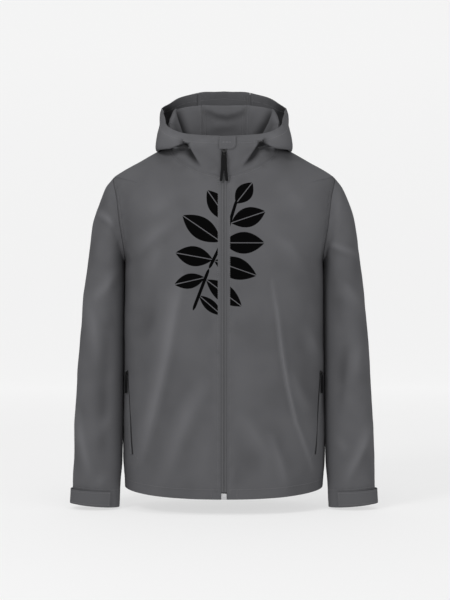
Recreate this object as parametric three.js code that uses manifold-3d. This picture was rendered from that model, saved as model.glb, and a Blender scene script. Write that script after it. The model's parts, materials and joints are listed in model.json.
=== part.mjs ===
// A softshell jacket with a three-panel hood, filled out as if worn, with no wearer in it.
// Millimetres, +Z up, the front faces -Y and the wearer's left is at +X.
// The origin is in the middle of the neck, level with the neck seam on the shoulders.
import * as THREE from "three";
import { mergeVertices } from "three/addons/utils/BufferGeometryUtils.js";
import Module from "manifold-3d";

const wasm = await Module();
wasm.setup();

// Driving sizes
const clothThickness = 1.8;
const hoodThickness = 1.6;
const seamGap = 0.4;
const zipHalfGap = 6; // from the centre line to each front's edge
const frontNeckZ = -80;
const backNeckZ = -14;
const shoulderPointZ = -73;
const underarmZ = -250;
const sideHemZ = -719;
const frontHemZ = -731;
const backHemZ = -735;
const armholeTurn = 25; // degrees that the armhole cuts into each body panel
const cuffTabHeight = 38;
const layerGap = 0.5; // between a panel and what lies on it or behind it
const zipTapeHalfWidth = 14;
const zipChainHalfWidth = 5.4;
const zipChainThickness = 1.7;
const zipBoxHeight = 9;
const chinGuard = { fromX: -10, toX: 24, lowLevel: 4.15, highLevel: 6.9, cornerRadius: 9, thickness: 1.5 };
const mainSliderLevel = 3.5; // on the collar, just below the chin guard
const pocket = { topTurn: 69.5, bottomTurn: 58, topZ: -476, bottomZ: -646, zipHalfWidth: 2.6, weltWidth: 9, layer: 1.2 };
const pocketSliderAt = 0.03; // share of the pocket's length from its top

const fabricGrey = 0x58585a;
const trimBlack = 0x141416;
const metalGrey = 0x9a9a9c;

// The body, as level sections. The rows above the underarm run past the armhole, which cuts them off.
const torsoSections = [
  { z: -740, halfWidth: 207, frontDepth: 139, backDepth: 112, squareness: 2.3 },
  { z: -640, halfWidth: 210, frontDepth: 141, backDepth: 113, squareness: 2.3 },
  { z: -520, halfWidth: 209, frontDepth: 140, backDepth: 111, squareness: 2.3 },
  { z: -400, halfWidth: 208, frontDepth: 138, backDepth: 112, squareness: 2.35 },
  { z: -310, halfWidth: 207, frontDepth: 136, backDepth: 116, squareness: 2.4 },
  { z: -250, halfWidth: 207, frontDepth: 133, backDepth: 120, squareness: 2.45 },
  { z: -200, halfWidth: 224, frontDepth: 127, backDepth: 121, squareness: 2.5 },
  { z: -160, halfWidth: 234, frontDepth: 119, backDepth: 119, squareness: 2.5 },
  { z: -110, halfWidth: 235, frontDepth: 104, backDepth: 109, squareness: 2.4 },
  { z: -73, halfWidth: 230, frontDepth: 93, backDepth: 98, squareness: 2.3 },
  { z: -45, halfWidth: 182, frontDepth: 88, backDepth: 84, squareness: 2.2 },
  { z: -20, halfWidth: 140, frontDepth: 86, backDepth: 75, squareness: 2.1 },
  { z: 0, halfWidth: 95, frontDepth: 84, backDepth: 66, squareness: 2 },
];

// The sleeve, from just outside the armhole to the cuff. outer and inner are its edges seen from the front.
const sleeveSections = [
  { along: 0.05, outerX: 247, outerZ: -92, innerX: 208, innerZ: -253, halfDepth: 67, centreY: 0 },
  { along: 0.1, outerX: 260, outerZ: -122, innerX: 208.3, innerZ: -258, halfDepth: 71, centreY: 0 },
  { along: 0.16, outerX: 273, outerZ: -160, innerX: 208.6, innerZ: -266, halfDepth: 72, centreY: -1 },
  { along: 0.22, outerX: 280, outerZ: -205, innerX: 208.8, innerZ: -281, halfDepth: 71, centreY: -2 },
  { along: 0.29, outerX: 286, outerZ: -255, innerX: 209, innerZ: -305, halfDepth: 69, centreY: -4 },
  { along: 0.36, outerX: 292.5, outerZ: -311, innerX: 209.2, innerZ: -340, halfDepth: 66, centreY: -7 },
  { along: 0.44, outerX: 298.5, outerZ: -374, innerX: 209.6, innerZ: -390, halfDepth: 62, centreY: -11 },
  { along: 0.53, outerX: 303.5, outerZ: -437, innerX: 210.2, innerZ: -446, halfDepth: 58, centreY: -15 },
  { along: 0.65, outerX: 307.5, outerZ: -521, innerX: 210.8, innerZ: -525, halfDepth: 52, centreY: -22 },
  { along: 0.77, outerX: 311, outerZ: -605, innerX: 211.8, innerZ: -607, halfDepth: 45, centreY: -29 },
  { along: 0.9, outerX: 313, outerZ: -695, innerX: 213.5, innerZ: -700, halfDepth: 38, centreY: -35 },
  { along: 1, outerX: 315, outerZ: -751, innerX: 216, innerZ: -759, halfDepth: 35, centreY: -38 },
];

// The hood, turned back. Each row is a section at an angle round the neck from the centre front, and each pair is how
// far out from the neck seam and how far up a level of the cloth lies: it stands at the neck, folds over, dips into
// the hollow, turns at the bottom fold and rises again to the rim of the face opening.
const hoodLevels = ["seam", "stand", "fold", "hollow", "bottom", "lobe", "outer", "rim"];
const hoodSections = [
  { around: 0, seam: [0, 0], stand: [0.5, 14], fold: [1, 28], hollow: [2, 42], bottom: [3, 54], lobe: [4, 64], outer: [5, 74], rim: [5, 82] },
  { around: 20, seam: [0, 0], stand: [-1, 10], fold: [1, 22], hollow: [5, 29], bottom: [9, 32], lobe: [10, 38], outer: [8, 48], rim: [5, 61] },
  { around: 40, seam: [0, 0], stand: [-3, 14], fold: [0, 27], hollow: [10, 18], bottom: [19, 9], lobe: [25, 14], outer: [22, 32], rim: [14, 51] },
  { around: 60, seam: [0, 0], stand: [-2, 20], fold: [8, 36], hollow: [20, 14], bottom: [33, -7], lobe: [40, 1], outer: [34, 25], rim: [19, 51] },
  { around: 80, seam: [0, 0], stand: [3, 22], fold: [18, 38], hollow: [29, 12], bottom: [40, -12], lobe: [47, -5], outer: [42, 24], rim: [32, 59] },
  { around: 100, seam: [0, 0], stand: [6, 27], fold: [21, 48], hollow: [31, 12], bottom: [41, -11], lobe: [48, -3], outer: [43, 27], rim: [35, 68] },
  { around: 130, seam: [0, 0], stand: [8, 42], fold: [27, 79], hollow: [38, 14], bottom: [54, -34], lobe: [70, -22], outer: [70, 26], rim: [61, 92] },
  { around: 155, seam: [0, 0], stand: [4, 52], fold: [16, 95], hollow: [34, 16], bottom: [60, -58], lobe: [80, -40], outer: [90, 30], rim: [84, 126] },
  { around: 180, seam: [0, 0], stand: [2, 56], fold: [13, 102], hollow: [34, 20], bottom: [62, -66], lobe: [84, -46], outer: [96, 30], rim: [86, 144] },
];
const hoodCentreSeam = { atNeck: 157, atRim: 164 }; // degrees round the neck

// Soft ridges where the cloth hangs, from one point to another as seen from the front or the back.
const bodyFolds = [
  { side: -1, face: "front", from: [-112, -390], to: [-178, -668], height: 6, width: 22 },
  { side: -1, face: "front", from: [-62, -500], to: [-100, -690], height: 4, width: 26 },
  { side: 1, face: "front", from: [112, -380], to: [180, -668], height: 6, width: 22 },
  { side: 1, face: "front", from: [98, -600], to: [132, -722], height: 4, width: 22 },
  { side: -1, face: "back", from: [-96, -330], to: [-150, -700], height: 6, width: 26 },
  { side: 1, face: "back", from: [88, -350], to: [142, -690], height: 6, width: 26 },
];

const degrees = Math.PI / 180;
const clamp = THREE.MathUtils.clamp;
const lerp = THREE.MathUtils.lerp;
const smoothstep = THREE.MathUtils.smoothstep;

// Smooth interpolation of numbers through rows that are sorted by one column.
function throughRows(rows, key, at, column) {
  const last = rows.length - 1;
  let i = rows.findIndex((row) => row[key] > at) - 1;
  if (i === -2) i = last - 1;
  i = clamp(i, 0, last - 1);
  const [before, low, high, after] = [rows[Math.max(i - 1, 0)], rows[i], rows[i + 1], rows[Math.min(i + 2, last)]];
  const span = high[key] - low[key];
  const t = clamp((at - low[key]) / span, 0, 1);
  const slope = (a, b) => ((column(b) - column(a)) / Math.max(b[key] - a[key], 1e-6)) * span;
  const startSlope = slope(before, high);
  const endSlope = slope(low, after);
  return (
    (2 * t ** 3 - 3 * t ** 2 + 1) * column(low) +
    (t ** 3 - 2 * t ** 2 + t) * startSlope +
    (3 * t ** 2 - 2 * t ** 3) * column(high) +
    (t ** 3 - t ** 2) * endSlope
  );
}

function torsoSectionAt(z) {
  const value = (name) => throughRows(torsoSections, "z", z, (row) => row[name]);
  return {
    halfWidth: value("halfWidth"),
    frontDepth: value("frontDepth"),
    backDepth: value("backDepth"),
    squareness: value("squareness"),
  };
}

// How far the cloth stands proud at a point of the body, from the folds that pass near it.
function foldHeight(side, face, x, z) {
  let height = 0;
  for (const fold of bodyFolds) {
    if (fold.side !== side || fold.face !== face) continue;
    const [fromX, fromZ] = fold.from;
    const [runX, runZ] = [fold.to[0] - fromX, fold.to[1] - fromZ];
    const length = Math.hypot(runX, runZ);
    const along = ((x - fromX) * runX + (z - fromZ) * runZ) / length ** 2;
    const across = ((x - fromX) * runZ - (z - fromZ) * runX) / length;
    const taper = smoothstep(along, -0.25, 0.3) * (1 - smoothstep(along, 0.75, 1.2));
    height += fold.height * taper * Math.exp(-((across / fold.width) ** 2));
  }
  return height;
}

// A point of the body's outer surface. turn goes from 0 at the centre to 90 degrees at the side seam.
function torsoPoint(side, face, turn, z) {
  const section = torsoSectionAt(z);
  const forward = face === "front" ? -1 : 1;
  const depth = face === "front" ? section.frontDepth : section.backDepth;
  const power = 2 / section.squareness;
  const angle = clamp(turn, 0, 90) * degrees;
  let x = section.halfWidth * Math.sin(angle) ** power;
  if (face === "front") x = zipHalfGap + x * (1 - zipHalfGap / section.halfWidth);
  const y = forward * depth * Math.max(Math.cos(angle), 0) ** power;
  const fade = smoothstep(turn, 2, 14) * (1 - smoothstep(turn, 74, 86));
  const proud = fade * foldHeight(side, face, side * x, z);
  const outward = new THREE.Vector3(side * x, y, 0).normalize();
  return new THREE.Vector3(side * x, y + (forward * seamGap) / 2, z).addScaledVector(outward, proud);
}

function necklineZ(face, turn) {
  return (face === "front" ? frontNeckZ : backNeckZ) * (1 - Math.sin(turn * degrees));
}

function hemZ(face, turn) {
  const middle = face === "front" ? frontHemZ : backHemZ;
  return lerp(sideHemZ, middle, Math.cos(turn * degrees) ** 1.5);
}

// The armhole's edge. swing goes from 0 at the shoulder point to 180 degrees at the underarm.
function armholeEdge(swing) {
  const middle = (shoulderPointZ + underarmZ) / 2;
  const half = (shoulderPointZ - underarmZ) / 2;
  return {
    z: middle + half * Math.cos(swing * degrees),
    turn: 90 - armholeTurn * Math.abs(Math.sin(swing * degrees)),
  };
}

// The edge of a body panel from hem to neck: side seam, armhole, then shoulder seam.
const sideRows = 10;
const armholeRows = 10;
const shoulderRows = 5;
const bodyRows = sideRows + armholeRows + shoulderRows;

function panelEdge(row) {
  if (row <= sideRows) return { z: lerp(sideHemZ, underarmZ, row / sideRows), turn: 90 };
  if (row <= sideRows + armholeRows) return armholeEdge(180 * (1 - (row - sideRows) / armholeRows));
  return { z: lerp(shoulderPointZ, 0, (row - sideRows - armholeRows) / shoulderRows), turn: 90 };
}

// A point of a body panel, by row from the hem to the neck and across from the centre, 0, to the edge, 1.
function panelPoint(side, face, row, across) {
  const edge = panelEdge(row);
  let z;
  if (edge.z <= underarmZ) {
    const rise = (edge.z - sideHemZ) / (underarmZ - sideHemZ);
    z = lerp(hemZ(face, 90 * across), underarmZ, rise);
  } else {
    const rise = (edge.z - underarmZ) / -underarmZ;
    z = lerp(underarmZ, necklineZ(face, 90 * across), rise);
  }
  return torsoPoint(side, face, edge.turn * across, z);
}

function sleeveSectionAt(along) {
  const value = (name) => throughRows(sleeveSections, "along", along, (row) => row[name]);
  return {
    outer: [value("outerX"), value("outerZ")],
    inner: [value("innerX"), value("innerZ")],
    halfDepth: value("halfDepth"),
    centreY: value("centreY"),
  };
}

// Soft creases down the sleeve: how far it stands proud at an angle round it.
function sleeveFold(side, swing, along) {
  const apart = (centre) => ((((swing - centre) % 360) + 540) % 360) - 180;
  const ridge = (centre, width) => Math.exp(-((apart(centre) / width) ** 2));
  const lower = smoothstep(along, 0.45, 0.7) * (1 - smoothstep(along, 0.86, 0.98));
  const upper = smoothstep(along, 0.08, 0.16) * (1 - smoothstep(along, 0.24, 0.4));
  return 4 * lower * ridge(34 + 30 * along, 22) - 4 * upper * ridge(70 + 60 * along, 26) - 3 * lower * ridge(250, 30);
}

// A point of the sleeve's outer surface. swing is 0 on the outside, 90 degrees at the front and 180 at the body.
function sleevePoint(side, swing, along) {
  const face = Math.sin(swing * degrees) >= 0 ? "front" : "back";
  const fold = Math.abs((((swing % 360) + 540) % 360) - 180);
  const start = armholeEdge(fold);
  const armhole = torsoPoint(side, face, start.turn, start.z);
  armhole.x += side * 1.5 * seamGap;
  if (along <= 0) return armhole;
  const section = sleeveSectionAt(along);
  const reach = (Math.cos(swing * degrees) + 1) / 2;
  const x = lerp(section.inner[0], section.outer[0], reach);
  const z = lerp(section.inner[1], section.outer[1], reach);
  const y = section.centreY - section.halfDepth * Math.sin(swing * degrees);
  const ring = new THREE.Vector3(side * x, y, z);
  const outward = new THREE.Vector3(side * Math.cos(swing * degrees), -Math.sin(swing * degrees), 0);
  ring.addScaledVector(outward, sleeveFold(side, swing, along));
  const firstRing = sleeveSections[0].along;
  return armhole.lerp(ring, smoothstep(along, 0, firstRing));
}

function neckSeam(side, around) {
  const face = around <= 90 ? "front" : "back";
  const turn = around <= 90 ? around : 180 - around;
  return torsoPoint(side, face, turn, necklineZ(face, turn));
}

// A point of the hood's outer surface, by angle round the neck and by level, from 0 at the seam to 7 at the rim.
function hoodPoint(side, around, level) {
  const seam = neckSeam(side, around);
  const outward = new THREE.Vector3(side * Math.sin(around * degrees), -Math.cos(around * degrees), 0);
  const profile = hoodLevels.map((name, at) => ({
    at,
    out: throughRows(hoodSections, "around", around, (row) => row[name][0]),
    up: throughRows(hoodSections, "around", around, (row) => row[name][1]),
  }));
  const out = throughRows(profile, "at", level, (row) => row.out);
  const up = throughRows(profile, "at", level, (row) => row.up);
  seam.z += up + seamGap;
  return seam.addScaledVector(outward, out);
}

function hoodSeamAngle(level) {
  return lerp(hoodCentreSeam.atNeck, hoodCentreSeam.atRim, level / (hoodLevels.length - 1));
}

// A closed solid between two equal grids of points. A wrapped grid's last column joins its first.
function wallBetween(outer, inner, wrapped) {
  const rows = outer.length;
  const columns = outer[0].length;
  const positions = [...outer.flat(), ...inner.flat()].flatMap((p) => [p.x, p.y, p.z]);
  const out = (i, j) => i * columns + (j % columns);
  const inn = (i, j) => rows * columns + out(i, j);
  const index = [];
  const quad = (a, b, c, d) => index.push(a, b, c, a, c, d);
  const lastColumn = wrapped ? columns : columns - 1;
  for (let i = 0; i < rows - 1; i++)
    for (let j = 0; j < lastColumn; j++) {
      quad(out(i, j), out(i, j + 1), out(i + 1, j + 1), out(i + 1, j));
      quad(inn(i, j), inn(i + 1, j), inn(i + 1, j + 1), inn(i, j + 1));
    }
  for (let j = 0; j < lastColumn; j++) {
    quad(out(0, j), inn(0, j), inn(0, j + 1), out(0, j + 1));
    quad(out(rows - 1, j), out(rows - 1, j + 1), inn(rows - 1, j + 1), inn(rows - 1, j));
  }
  if (!wrapped)
    for (let i = 0; i < rows - 1; i++) {
      quad(out(i, 0), out(i + 1, 0), inn(i + 1, 0), inn(i, 0));
      quad(out(i, columns - 1), inn(i, columns - 1), inn(i + 1, columns - 1), out(i + 1, columns - 1));
    }
  let volume = 0;
  const corner = (k) => new THREE.Vector3().fromArray(positions, 3 * index[k]);
  for (let k = 0; k < index.length; k += 3) volume += corner(k).dot(corner(k + 1).cross(corner(k + 2)));
  if (volume < 0) for (let k = 0; k < index.length; k += 3) [index[k], index[k + 1]] = [index[k + 1], index[k]];
  const geometry = new THREE.BufferGeometry();
  geometry.setAttribute("position", new THREE.Float32BufferAttribute(positions, 3));
  geometry.setIndex(index);
  geometry.computeVertexNormals();
  return geometry;
}

// The surface's normal where two parameters of it are given, turned to the side that hand says.
function normalOf(pointAt, a, b, stepA, stepB, hand) {
  const alongA = pointAt(a + stepA, b).sub(pointAt(a - stepA, b));
  const alongB = pointAt(a, b + stepB).sub(pointAt(a, b - stepB));
  return alongA.cross(alongB).normalize().multiplyScalar(hand);
}

// A cloth wall, or a piece that lies on one: pointAt's surface moved out by lift, and the same less thickness.
function clothOn({ pointAt, rows, columns, stepRow, stepColumn, hand, thickness, lift = 0, wrapped = false }) {
  const outer = [];
  const inner = [];
  for (const row of rows) {
    const points = columns.map((column) => pointAt(row, column));
    const normals = columns.map((column) => normalOf(pointAt, row, column, stepRow, stepColumn, hand));
    outer.push(points.map((p, k) => p.clone().addScaledVector(normals[k], lift)));
    inner.push(points.map((p, k) => p.clone().addScaledVector(normals[k], lift - thickness)));
  }
  return wallBetween(outer, inner, wrapped);
}

const range = (from, to, count) => Array.from({ length: count + 1 }, (_, k) => lerp(from, to, k / count));

const jacket = new THREE.Group();

function addPiece(name, geometry, colour, roughness = 0.85, metalness = 0) {
  const mesh = new THREE.Mesh(geometry, new THREE.MeshStandardMaterial({ color: colour, roughness, metalness }));
  mesh.name = name;
  jacket.add(mesh);
  return mesh;
}

const sideName = (side) => (side < 0 ? "right" : "left"); // the wearer's right is at -X

function addFront(side) {
  const pointAt = (row, across) => panelPoint(side, "front", clamp(row, 0, bodyRows), clamp(across, 0, 1));
  const geometry = clothOn({
    pointAt,
    rows: range(0, bodyRows, bodyRows),
    columns: range(0, 1, 11),
    stepRow: 0.02,
    stepColumn: 0.004,
    hand: -side,
    thickness: clothThickness,
  });
  addPiece(`front_${sideName(side)}`, geometry, fabricGrey);
}

function addBack() {
  const pointAt = (row, across) =>
    panelPoint(across < 0 ? -1 : 1, "back", clamp(row, 0, bodyRows), clamp(Math.abs(across), 0, 1));
  const geometry = clothOn({
    pointAt,
    rows: range(0, bodyRows, bodyRows),
    columns: range(-1, 1, 20),
    stepRow: 0.02,
    stepColumn: 0.004,
    hand: 1,
    thickness: clothThickness,
  });
  addPiece("back", geometry, fabricGrey);
}

function addSleeve(side) {
  const rows = [0, 0.02, 0.05, 0.075, 0.1, 0.13, 0.16, 0.19, 0.22, 0.255, 0.29, ...range(0.33, 1, 13)];
  const columns = range(0, 360, 24).slice(0, -1);
  const pointAt = (along, swing) => sleevePoint(side, swing, clamp(along, 0, 1));
  const outer = rows.map((along) => columns.map((swing) => pointAt(along, swing)));
  const inner = outer.map((ring, i) => {
    const centre = ring.reduce((sum, p) => sum.add(p), new THREE.Vector3()).divideScalar(ring.length);
    if (i === 0) centre.x += side * 22; // the first ring's wall leans away from the body
    return ring.map((p, k) => {
      const toCentre = centre.clone().sub(p).normalize();
      const inward = i === 0 ? toCentre : normalOf(pointAt, rows[i], columns[k], 0.004, 2, side);
      if (inward.dot(toCentre) < 0) inward.negate();
      return p.clone().addScaledVector(inward, clothThickness);
    });
  });
  addPiece(`sleeve_${sideName(side)}`, wallBetween(outer, inner, true), fabricGrey);
}

// The strap that narrows the cuff. It lies on the sleeve's outside and front, and stands off a little at the outside.
function addCuffTab(side) {
  const [fromSwing, toSwing] = [-70, 128];
  const hemClearance = 2;
  const sleeveDrop = 751 - 695;
  const topAlong = 1 - (0.1 * (cuffTabHeight + hemClearance)) / sleeveDrop;
  const bottomAlong = 1 - (0.1 * hemClearance) / sleeveDrop;
  const standOff = (swing) => 0.6 + 2.4 * Math.max(0, Math.cos(swing * degrees)) ** 2;
  const surface = (along, swing) => {
    const p = sleevePoint(side, swing, along);
    const outward = new THREE.Vector3(side * Math.cos(swing * degrees), -Math.sin(swing * degrees), 0);
    return p.addScaledVector(outward, standOff(swing));
  };
  const rows = range(topAlong, bottomAlong, 3);
  const columns = range(fromSwing, toSwing, 18);
  const geometry = clothOn({
    pointAt: surface,
    rows,
    columns,
    stepRow: 0.004,
    stepColumn: 1,
    hand: -side,
    thickness: clothThickness,
    lift: clothThickness,
  });
  addPiece(`cuff_tab_${sideName(side)}`, geometry, fabricGrey);
}

const lastHoodLevel = hoodLevels.length - 1;
const hoodRows = range(0, lastHoodLevel, 2 * lastHoodLevel);
const hoodSeamClearance = 0.2; // degrees

function addHoodSide(side) {
  const pointAt = (level, share) => {
    const at = clamp(level, 0, lastHoodLevel);
    return hoodPoint(side, clamp(share, 0, 1) * (hoodSeamAngle(at) - hoodSeamClearance), at);
  };
  const geometry = clothOn({
    pointAt,
    rows: hoodRows,
    columns: range(0, 1, 22),
    stepRow: 0.02,
    stepColumn: 0.004,
    hand: -side,
    thickness: hoodThickness,
  });
  addPiece(`hood_side_${sideName(side)}`, geometry, fabricGrey);
}

function addHoodCentre() {
  const pointAt = (level, across) => {
    const at = clamp(level, 0, lastHoodLevel);
    const spread = (180 - hoodSeamAngle(at) - hoodSeamClearance) * clamp(Math.abs(across), 0, 1);
    return hoodPoint(across < 0 ? -1 : 1, 180 - spread, at);
  };
  const geometry = clothOn({
    pointAt,
    rows: hoodRows,
    columns: range(-1, 1, 8),
    stepRow: 0.02,
    stepColumn: 0.004,
    hand: 1,
    thickness: hoodThickness,
  });
  addPiece("hood_centre", geometry, fabricGrey);
}

// The line down the centre front, from the hem up the body, and on up the collar to its rim.
const centreRows = [...range(0, bodyRows, bodyRows), ...hoodRows.slice(1).map((level) => bodyRows + level)];

function centreFrontPoint(x, at) {
  const edge = at <= bodyRows ? panelPoint(1, "front", at, 0) : hoodPoint(1, 0, Math.min(at - bodyRows, lastHoodLevel));
  return new THREE.Vector3(x, edge.y, edge.z);
}

// A strip of the centre line. depth is how far its outer face lies behind the fronts' outer face.
function addCentreStrip(name, halfWidth, depth, thickness, rows, colour, roughness, metalness) {
  const geometry = clothOn({
    pointAt: (at, x) => centreFrontPoint(x, clamp(at, 0, bodyRows + lastHoodLevel)),
    rows,
    columns: [-halfWidth, halfWidth],
    stepRow: 0.02,
    stepColumn: 1,
    hand: -1,
    thickness,
    lift: -depth,
  });
  addPiece(name, geometry, colour, roughness, metalness);
}

function addZip() {
  const tapeDepth = clothThickness + layerGap + 0.3; // the fronts curve back a little behind their edges
  const tapeThickness = 1;
  addCentreStrip("zip_tape", zipTapeHalfWidth, tapeDepth, tapeThickness, centreRows, fabricGrey);
  const boxRows = (zipBoxHeight * sideRows) / (underarmZ - frontHemZ);
  const chainRows = [boxRows + 0.02, ...centreRows.filter((at) => at > 0.5 && at < bodyRows + chinGuard.highLevel)];
  addCentreStrip("zip_chain", zipChainHalfWidth, 0.4, zipChainThickness, chainRows, fabricGrey, 0.6);
  addCentreStrip("zip_box", zipChainHalfWidth, -0.8, 3, [0.02, boxRows / 2, boxRows - 0.02], metalGrey, 0.35, 0.9);
}

// The collar's outer surface at a distance to one side of the centre line.
function collarPoint(x, level) {
  if (Math.abs(x) <= zipHalfGap) return centreFrontPoint(x, bodyRows + level);
  let [near, far] = [0, 40];
  for (let k = 0; k < 40; k++) {
    const middle = (near + far) / 2;
    if (Math.abs(hoodPoint(Math.sign(x), middle, level).x) < Math.abs(x)) near = middle;
    else far = middle;
  }
  return hoodPoint(Math.sign(x), near, level);
}

// The guard that covers the top of the zip at the chin, with one rounded lower corner.
function addChinGuard() {
  const { fromX, toX, lowLevel, highLevel, cornerRadius, thickness } = chinGuard;
  const levelHeight = 10; // about how far apart the collar's levels are at the centre
  const lowEdge = (x) => {
    const past = Math.max(0, x - (toX - cornerRadius));
    return lowLevel + (cornerRadius - Math.sqrt(cornerRadius ** 2 - past ** 2)) / levelHeight;
  };
  const geometry = clothOn({
    pointAt: (share, x) => collarPoint(x, lerp(lowEdge(Math.min(x, toX)), highLevel, share)),
    rows: range(0, 1, 4),
    columns: [fromX, -6, 0, 6, 10, 15, 18, 20.5, 22.5, 23.6, toX],
    stepRow: 0.02,
    stepColumn: 0.05,
    hand: -1,
    thickness,
    lift: layerGap + thickness,
  });
  addPiece("chin_guard", geometry, fabricGrey);
}

function solidOf(geometry) {
  const bare = geometry.clone();
  bare.deleteAttribute("normal");
  bare.deleteAttribute("uv");
  const merged = mergeVertices(bare, 1e-4);
  const vertProperties = new Float32Array(merged.attributes.position.array);
  return new wasm.Manifold(new wasm.Mesh({ numProp: 3, vertProperties, triVerts: new Uint32Array(merged.index.array) }));
}

function geometryOf(solid) {
  const { vertProperties, triVerts } = solid.getMesh();
  const geometry = new THREE.BufferGeometry();
  geometry.setAttribute("position", new THREE.Float32BufferAttribute(vertProperties, 3));
  geometry.setIndex(new THREE.Uint32BufferAttribute(triVerts, 1));
  return geometry;
}

// A zip slider with the arch that its pull hangs from. The pull's axis is X through the local origin and outward is -Y.
const slider = { halfTop: 5, halfBottom: 3.9, halfHeight: 6, depth: 2.8, axisHeight: 1.6, archInner: 2, archOuter: 3.2 };

function sliderGeometry(size) {
  const plan = new THREE.Shape();
  plan.moveTo(-slider.halfBottom, -slider.halfHeight);
  plan.lineTo(slider.halfBottom, -slider.halfHeight);
  plan.lineTo(slider.halfTop, slider.halfHeight - 3);
  plan.lineTo(slider.halfTop - 2, slider.halfHeight);
  plan.lineTo(2 - slider.halfTop, slider.halfHeight);
  plan.lineTo(-slider.halfTop, slider.halfHeight - 3);
  plan.closePath();
  const body = new THREE.ExtrudeGeometry(plan, { depth: slider.depth, bevelEnabled: false });
  body.rotateX(Math.PI / 2).translate(0, slider.axisHeight + slider.depth, 0);

  const foot = -slider.axisHeight - 0.3;
  const arch = new THREE.Shape();
  arch.moveTo(slider.archOuter, foot);
  arch.absarc(0, 0, slider.archOuter, 0, Math.PI, false);
  arch.lineTo(-slider.archOuter, foot);
  arch.lineTo(-slider.archInner, foot);
  arch.absarc(0, 0, slider.archInner, Math.PI, 0, true);
  arch.lineTo(slider.archInner, foot);
  arch.closePath();
  const archWidth = 2.4;
  const bail = new THREE.ExtrudeGeometry(arch, { depth: archWidth, bevelEnabled: false, curveSegments: 8 });
  bail.translate(0, 0, -archWidth / 2);
  const [alongZ, outward, alongX] = [new THREE.Vector3(0, 0, 1), new THREE.Vector3(0, -1, 0), new THREE.Vector3(1, 0, 0)];
  bail.applyMatrix4(new THREE.Matrix4().makeBasis(alongZ, outward, alongX));
  return geometryOf(solidOf(body).add(solidOf(bail))).scale(size, size, size);
}

// A flat pull of a given outline, hung by a slot near its top. The crossbar over the slot is its axis.
function pullGeometry(outline, slotHalfWidth, slotBottom, barHalf) {
  const plan = new THREE.Shape(outline.map(([x, z]) => new THREE.Vector2(x, z)));
  const slot = new THREE.Path();
  slot.moveTo(-slotHalfWidth, -barHalf);
  slot.lineTo(slotHalfWidth, -barHalf);
  slot.lineTo(slotHalfWidth, slotBottom);
  slot.lineTo(-slotHalfWidth, slotBottom);
  slot.closePath();
  plan.holes.push(slot);
  const geometry = new THREE.ExtrudeGeometry(plan, { depth: 2 * barHalf, bevelEnabled: false });
  return geometry.rotateX(Math.PI / 2).translate(0, barHalf, 0);
}

// Puts a slider and its pull at a point of the cloth, facing along the level part of its normal.
function addSliderAndPull(name, at, normal, { size, clear, lean, outline, slotHalfWidth, slotBottom, barHalf }) {
  const outward = new THREE.Vector3(normal.x, normal.y, 0).normalize();
  const up = new THREE.Vector3(0, 0, 1);
  const backward = outward.clone().negate();
  const across = backward.clone().cross(up);
  const turned = new THREE.Quaternion().setFromRotationMatrix(new THREE.Matrix4().makeBasis(across, backward, up));
  const axisPoint = at.clone().addScaledVector(outward, clear + size * (slider.depth + slider.axisHeight));
  const body = addPiece(`${name}_slider`, sliderGeometry(size), trimBlack, 0.45, 0.2);
  body.position.copy(axisPoint);
  body.quaternion.copy(turned).multiply(new THREE.Quaternion().setFromAxisAngle(new THREE.Vector3(0, 1, 0), lean));
  const pull = addPiece(`${name}_pull`, pullGeometry(outline, slotHalfWidth, slotBottom, barHalf), trimBlack, 0.6);
  pull.position.copy(axisPoint);
  pull.quaternion.copy(turned);
}

// The main pull forks into two legs.
function addMainSlider() {
  const right = [[0.9, -37], [3.2, -57.5], [4.6, -58.5], [7.6, -58.5], [8.5, -57], [6.2, -30], [5, -8], [4, 0.4], [3.4, 0.8]];
  const left = right.map(([x, z]) => [-x, z]).reverse();
  addSliderAndPull("zip", centreFrontPoint(0, bodyRows + mainSliderLevel), new THREE.Vector3(0, -1, 0), {
    size: 1,
    clear: 0.5,
    lean: 0,
    outline: [...left, ...right],
    slotHalfWidth: 2.2,
    slotBottom: -5.6,
    barHalf: 0.8,
  });
}

// The front panel's surface by share of the pocket's length from its top, and by distance towards the side seam.
function pocketPoint(side, share, offset) {
  const turn = lerp(pocket.topTurn, pocket.bottomTurn, share);
  const z = lerp(pocket.topZ, pocket.bottomZ, share);
  const perDegree = torsoPoint(side, "front", turn + 0.5, z).distanceTo(torsoPoint(side, "front", turn - 0.5, z));
  return torsoPoint(side, "front", turn + offset / perDegree, z);
}

function addPocket(side) {
  const strip = (name, columns, colour, roughness) => {
    const geometry = clothOn({
      pointAt: (share, offset) => pocketPoint(side, share, offset),
      rows: range(0, 1, 8),
      columns,
      stepRow: 0.01,
      stepColumn: 0.2,
      hand: side,
      thickness: pocket.layer,
      lift: layerGap + pocket.layer,
    });
    addPiece(`${name}_${sideName(side)}`, geometry, colour, roughness);
  };
  const { zipHalfWidth, weltWidth } = pocket;
  strip("pocket_zip", [-zipHalfWidth, zipHalfWidth], trimBlack, 0.7);
  strip("pocket_welt", range(zipHalfWidth + layerGap, zipHalfWidth + layerGap + weltWidth, 2), fabricGrey, 0.85);

  const at = pocketPoint(side, pocketSliderAt, 0);
  const below = pocketPoint(side, pocketSliderAt + 0.1, 0);
  const normal = normalOf((share, offset) => pocketPoint(side, share, offset), pocketSliderAt, 0, 0.01, 0.2, side);
  const run = Math.hypot(below.x - at.x, below.y - at.y);
  const outline = [[-3, 0.6], [3, 0.6], [3.4, -8], [4.4, -40.5], [3.6, -41.6], [-3.6, -41.6], [-4.4, -40.5], [-3.4, -8]];
  addSliderAndPull(`pocket_${sideName(side)}`, at, normal, {
    size: 0.7,
    clear: layerGap + pocket.layer + 0.5,
    lean: side * Math.atan2(run, at.z - below.z),
    outline: outline.reverse(),
    slotHalfWidth: 2,
    slotBottom: -4.4,
    barHalf: 0.6,
  });
}

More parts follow.
